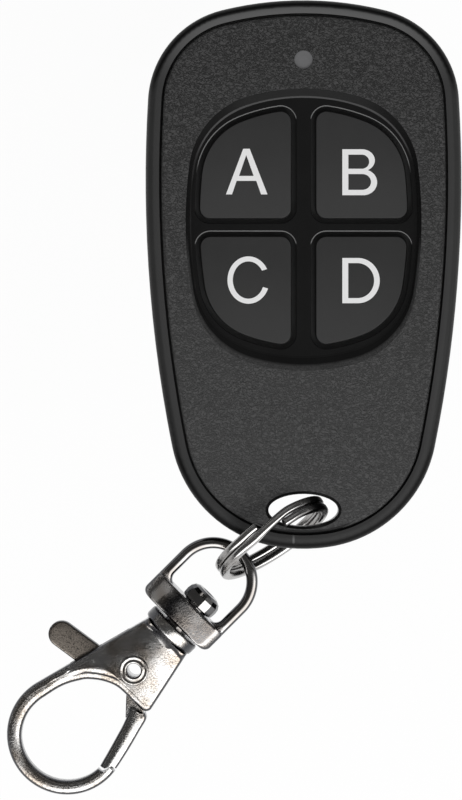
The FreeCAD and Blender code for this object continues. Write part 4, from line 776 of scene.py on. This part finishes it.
# the rivet's head has a few flat sides, as a pressed one has; its profile is (radius, place along Y)
rivetHeadSize = {
    "sides": 13,
    "profile": [
        (1.6, 0.6), (1.6, 4.40), (2.05, 4.42), (2.25, 4.62), (2.30, 5.30), (2.22, 5.80), (1.92, 6.26),
        (1.42, 6.50), (0.95, 6.52), (0.60, 6.40), (0.25, 6.36),
    ],
}
headGrid = lathe(rivetHeadSize["profile"], rivetHeadSize["sides"])
headMesh = meshFrom("swivelRivetHead", claspShell(headGrid))
makePiece("swivelRivetHead", headMesh, eyeNickel, "hook", ["swivel_rivet"], sharp=18)
print("eye and rivet made")

# thicken, roundChange, crowning and lipRise are where along Y a change starts and ends; throat is its edge as
# (x, y) and the height on the left side that each place is joined to; bight is the inner radius by angle
hookSize = {
    "shoulderLeft": (-2.98, -0.5), "shoulderRight": (3.30, -0.5), "loopCentre": (0.0, -17.46),
    "loopRadius": 7.18, "loopStart": 132.0, "noseOuter": 367.3, "noseInner": 357.3,
    "tip": (4.12, -8.1), "tipRadius": 0.8, "tipJoin": -7.2,
    "bodyHalf": 2.02, "loopHalf": 1.45, "thicken": (-14.5, -9.0),
    "bodyRound": 0.72, "loopRound": 0.74, "roundChange": (-14.5, -11.5),
    "crown": 0.38, "crowning": (-12.5, -9.5), "lip": 0.62, "lipRise": (-1.35, -0.55),
    "throat": [
        (4.12, -8.90, -7.7), (2.6, -8.96, -7.95), (1.1, -8.96, -8.2), (0.0, -9.10, -8.55),
        (-1.0, -9.50, -8.95), (-2.0, -10.12, -9.4), (-3.05, -11.05, -10.0), (-3.66, -11.96, -10.5),
        (-4.16, -12.84, -11.02),
    ],
    "bightAngles": [132, 140, 148, 156, 164, 180, 204, 228, 360],
    "bightRadii": [6.20, 5.88, 5.60, 5.38, 5.27, 5.27, 5.36, 5.46, 5.48],
    "slotLow": (-15.0, -11.2), "slotHigh": (15.0, -3.2), "slotHalf": 0.85, "pivotBore": 1.23,
    "collar": [
        (1.62, -1.5), (2.6, -1.5), (3.20, -0.50), (3.36, -0.44), (3.46, -0.32), (3.5, -0.12), (3.5, 0.62),
        (3.46, 0.82), (3.36, 0.94), (3.20, 1.0), (1.62, 1.0),
    ],
}
pivot = (0.19, -6.17)  # the gate rivet's place on the clasp's X and Y axes


def strip(left, right, halfHeight, rounding, crown, roundSteps=8, flatSteps=14):
    # a plate between two edges with its rims rounded: each edge goes inward by its own normal round a
    # quarter circle, and the top between them is crowned by a parabola
    def rim(edge, inward):
        radius = rounding(edge[:, 1])
        for angle in np.linspace(0, math.pi / 2, roundSteps):
            plan = edge + inward * (radius * (1 - math.cos(angle)))[:, None]
            yield plan, halfHeight(edge[:, 1]) - radius * (1 - math.sin(angle))

    leftRim, rightRim = list(rim(left, leftOfPath(left))), list(rim(right, -leftOfPath(right)))
    leftTop, rightTop = leftRim[-1][0], rightRim[-1][0]
    flat = []
    for share in np.linspace(0, 1, flatSteps + 1)[1:-1]:
        plan = leftTop + (rightTop - leftTop) * share
        bulge = crown(plan[:, 1]) * 4 * share * (1 - share)
        flat.append((plan, halfHeight(plan[:, 1]) + bulge))
    columns = leftRim + flat + rightRim[::-1]
    top = np.stack([np.concatenate([plan, height[:, None]], -1) for plan, height in columns], 1)
    bottom = top[:, ::-1] * np.array([1, 1, -1])
    return np.concatenate([top, bottom], 1)


def hookEdges(size):
    # left: down the straight side, which touches the loop's circle, and round the outside of the loop
    # right: down to the tip, round it, and along the throat and the bight to the nose
    centre, reach = np.array(size["loopCentre"]), size["loopRadius"]
    start, end, tip = [np.array(size[place]) for place in ("shoulderLeft", "shoulderRight", "tip")]
    toStart = start - centre
    touchAngle = math.acos(reach / np.linalg.norm(toStart)) + math.atan2(toStart[1], toStart[0])
    touch = centre + reach * np.array([math.cos(touchAngle), math.sin(touchAngle)])
    side = end + (tip + [size["tipRadius"], 0] - end) * np.linspace(0, 1, 44)[:, None]
    tipArc = around(tip, size["tipRadius"], np.linspace(0, -90, 14))
    throat = curveThrough(size["throat"], 72)
    share = np.linspace(0, 1, 210)
    outerAngle = size["loopStart"] + (size["noseOuter"] - size["loopStart"]) * share
    innerAngle = size["loopStart"] + (size["noseInner"] - size["loopStart"]) * share
    bight = around(centre, np.interp(innerAngle, size["bightAngles"], size["bightRadii"]), innerAngle)
    right = np.concatenate([side, tipArc[1:], throat[1:-1, :2], bight])
    heights = np.concatenate([
        np.linspace(start[1], size["tipJoin"], len(side)),
        np.linspace(size["tipJoin"], throat[0, 2], len(tipArc))[1:],
        throat[1:-1, 2],
    ])
    line = start + (touch - start) * ((heights - start[1]) / (touch[1] - start[1]))[:, None]
    # before it touches the circle, the side is further out by one over the cosine of the angle left to go
    angleLeft = np.minimum(np.radians(outerAngle) - touchAngle, 0)
    loop = around(centre, reach / np.cos(angleLeft), outerAngle)
    return np.concatenate([line, loop]), right


def hookHeight(y):
    # thin round the loop, thick at the body, with a lip that rises against the collar
    thicker = (hookSize["bodyHalf"] - hookSize["loopHalf"]) * smooth(y, *hookSize["thicken"])
    return hookSize["loopHalf"] + thicker + hookSize["lip"] * smooth(y, *hookSize["lipRise"])


def hookRound(y):
    change = (hookSize["bodyRound"] - hookSize["loopRound"]) * smooth(y, *hookSize["roundChange"])
    return hookSize["loopRound"] + change


def hookCrown(y):
    return hookSize["crown"] * smooth(y, *hookSize["crowning"])


def slab(low, high, half):
    # a box between two corners in plan, as far up as down
    corners = np.array([low, (high[0], low[1]), high, (low[0], high[1])])
    return np.stack([np.concatenate([corners, np.full((4, 1), height)], 1) for height in (-half, half)])


hookGrid = strip(*hookEdges(hookSize), hookHeight, hookRound, hookCrown)
slotGrid = slab(hookSize["slotLow"], hookSize["slotHigh"], hookSize["slotHalf"])
pivotGrid = upright([(hookSize["pivotBore"], -4), (hookSize["pivotBore"], 4)], pivot)
hookMesh = cutMesh("hook", meshFrom("hook", claspShell(hookGrid)), meshFrom("slot", claspShell(slotGrid)),
                   meshFrom("rivetBore", claspShell(pivotGrid)))
collarMesh = meshFrom("collar", claspShell(lathe(hookSize["collar"], 72), ringTube))
makePiece("hookBody", joined("hookBody", hookMesh, collarMesh), finishes["dark_nickel"], "hook", ["hook_body"])
print("hook made")

gateSize = {
    "tabEnd": (-8.95, -9.4), "tabBend": (-4.2, -8.68), "tabReach": 1.9, "tabAngle": 209.0,
    "tabHalf": 1.57, "tabHeight": 0.75, "tabRound": 0.26, "tabCrown": 0.03, "hubRadius": 2.45, "bore": 1.25,
    "root": [(1.75, -7.62), (4.25, -10.3)], "rootHalf": 1.05, "rootHeight": 0.74, "rootRound": 0.1,
    "armHeight": 1.4, "armRound": 0.62, "armCrown": 0.05,
    "armInner": [(2.95, -9.75), (3.40, -10.55), (3.95, -12.0), (4.30, -13.2), (4.90, -15.3), (5.42, -17.24)],
    "armOuter": [(4.75, -8.95), (5.38, -9.45), (5.80, -11.0), (6.34, -13.0), (6.80, -15.0), (7.02, -16.12)],
}


def barEdges(points, half, count):
    # the two long edges of a bar along a path, with a half-round end at its start
    path = spread(np.array(points, float), count)
    along, left = alongPath(path), leftOfPath(path)
    turn = np.radians(np.linspace(3, 87, 12))[:, None]
    edges = []
    for side in (1, -1):
        cap = path[0] - along[0] * half * np.cos(turn) + side * left[0] * half * np.sin(turn)
        edges.append(np.concatenate([cap, path + side * left * half]))
    return edges


def everywhere(number):
    # a height, rounding or crown that stays the same along a strip
    return lambda y: 0 * y + number


def gateGrids(size):
    # the thumb tab, which ends inside the hub, then the hub, the arm's root and the arm
    tabNear = around(pivot, size["tabReach"], [size["tabAngle"]])[0]
    tabLeft, tabRight = barEdges([size["tabEnd"], size["tabBend"], tabNear], size["tabHalf"], 46)
    tab = strip(tabRight, tabLeft, everywhere(size["tabHeight"]), everywhere(size["tabRound"]),
                everywhere(size["tabCrown"]), flatSteps=6)
    bore, rim, top = size["bore"], size["hubRadius"], size["tabHeight"]
    hub = upright([(bore, -top), (bore, top), (rim, top), (rim, -top)], pivot, 48)
    rootLeft, rootRight = barEdges(size["root"], size["rootHalf"], 12)
    root = strip(rootRight, rootLeft, everywhere(size["rootHeight"]), everywhere(size["rootRound"]),
                 everywhere(0.0), flatSteps=4)
    arm = strip(curveThrough(size["armInner"], 60), curveThrough(size["armOuter"], 60),
                everywhere(size["armHeight"]), everywhere(size["armRound"]), everywhere(size["armCrown"]))
    return tab, hub, root, arm


tabGrid, hubGrid, rootGrid, armGrid = gateGrids(gateSize)
gateMesh = meshFrom("gateLever", claspShell(tabGrid), claspShell(hubGrid, ringTube), claspShell(rootGrid),
                    claspShell(armGrid))
makePiece("gateLever", gateMesh, leverNickel, "gate", ["gate_lever"])

# the upper half of the hollow gate rivet as (radius, height); the lower half is its mirror image
gateRivetHalf = [
    (0.87, 2.5), (0.95, 2.62), (1.08, 2.64), (1.20, 2.54), (1.32, 2.46), (1.44, 2.54), (1.60, 2.60),
    (1.72, 2.54), (1.78, 2.40), (1.76, 2.31), (1.20, 2.29),
]
gateRivetRing = gateRivetHalf + [(radius, -height) for radius, height in reversed(gateRivetHalf)]
gateRivetMesh = meshFrom("gateRivetTube", claspShell(upright(gateRivetRing, pivot), ringTube))
makePiece("gateRivetTube", gateRivetMesh, finishes["dark_nickel"], "hook", ["gate_rivet"], sharp=60)
print("gate made")

# straight down on the middle; height is what the picture shows from top to bottom at this level
view = {"middle": (-8.583, -14.864), "height": 94.98, "level": 8.0, "distance": 900.0, "sensor": 24.0}
camera = bpy.data.cameras.new("camera")
camera.sensor_fit = "VERTICAL"
camera.sensor_height = view["sensor"]
camera.lens = view["sensor"] * view["distance"] / view["height"]
camera.clip_start, camera.clip_end = 0.01, 10
cameraObject = placed("camera", camera)
cameraObject.location = [part * mm for part in (*view["middle"], view["level"] + view["distance"])]
bpy.context.scene.camera = cameraObject

# in metres; low enough that the clasp never dips into it, however far it tips
floorSize = {"reach": 3.0, "level": -0.055}
floorCorners = [
    (signX * floorSize["reach"], signY * floorSize["reach"], floorSize["level"])
    for signX, signY in ((-1, -1), (1, -1), (1, 1), (-1, 1))
]
floorMesh = bpy.data.meshes.new("floor")
floorMesh.from_pydata(floorCorners, [], [(0, 1, 2, 3)])
floor = placed("floor", floorMesh)
# a white that takes the shadow, mixed with a plain white for what looks straight at it
floorLook = {"white": 0.88, "plainShare": 0.92}
floorShading = newShading("floorWhite")
direct, mirrored, through = floorShading.outputs(
    "LightPath", ["Is Camera Ray", "Is Glossy Ray", "Is Transmission Ray"])
plainShare = (direct + mirrored + through) * floorLook["plainShare"]
lit = floorShading.node("BsdfDiffuse", {}, {"Color": colourOf(floorLook["white"])})
glow = floorShading.node("Emission", {}, {"Color": colourOf(1), "Strength": 1.0})
floorMesh.materials.append(floorShading.finish(
    floorShading.node("MixShader", {}, {0: plainShare, 1: lit, 2: glow})))

# even light for all but mirror images, which show one bright panel and a thin strip in a dim room
studio = {
    "even": 0.72, "dim": 0.048, "low": 0.05, "high": 0.30,
    "panel": 2.2, "panelEast": 0.34, "panelNorth": -0.94, "panelStart": 0.10, "panelEnd": 0.43,
    "strip": 0.30, "stripPlace": -0.55, "stripHalf": 0.05,
}
world = bpy.data.worlds.new("studio")
bpy.context.scene.world = world
sky = Shading(world, "OutputWorld")
east, north, high = sky.split(sky.node("TexCoord", output="Generated"))
across = east * studio["panelEast"] + north * studio["panelNorth"]
overhead = sky.between(high, studio["low"], studio["high"])
panel = sky.between(across, studio["panelStart"], studio["panelEnd"]) * overhead
thinStrip = sky.between(abs(across - studio["stripPlace"]), studio["stripHalf"], 0.0) * overhead
room = panel * studio["panel"] + thinStrip * studio["strip"] + studio["dim"]
evenLight = sky.node("Background", {}, {"Color": colourOf(1), "Strength": studio["even"]})
roomLight = sky.node("Background", {}, {"Color": colourOf(1), "Strength": room})
inMirror = sky.node("LightPath", output="Is Glossy Ray")
sky.finish(sky.node("MixShader", {}, {0: inMirror, 1: evenLight, 2: roomLight}))

# one broad soft lamp towards the lower right of the view, in metres and watts
lampLook = {"place": (0.12, -0.35, 0.35), "side": 0.25, "power": 1.3, "target": (0.0, -0.01, 0.0)}
lamp = bpy.data.lights.new("softBox", "AREA")
lamp.energy, lamp.size = lampLook["power"], lampLook["side"]
lampObject = placed("softBox", lamp)
lampObject.location = lampLook["place"]
lampObject.visible_glossy = False
toTarget = Vector(lampLook["target"]) - Vector(lampLook["place"])
lampObject.rotation_euler = toTarget.to_track_quat("-Z", "Y").to_euler()
bpy.context.scene.view_settings.view_transform = "Standard"
print("stage set")
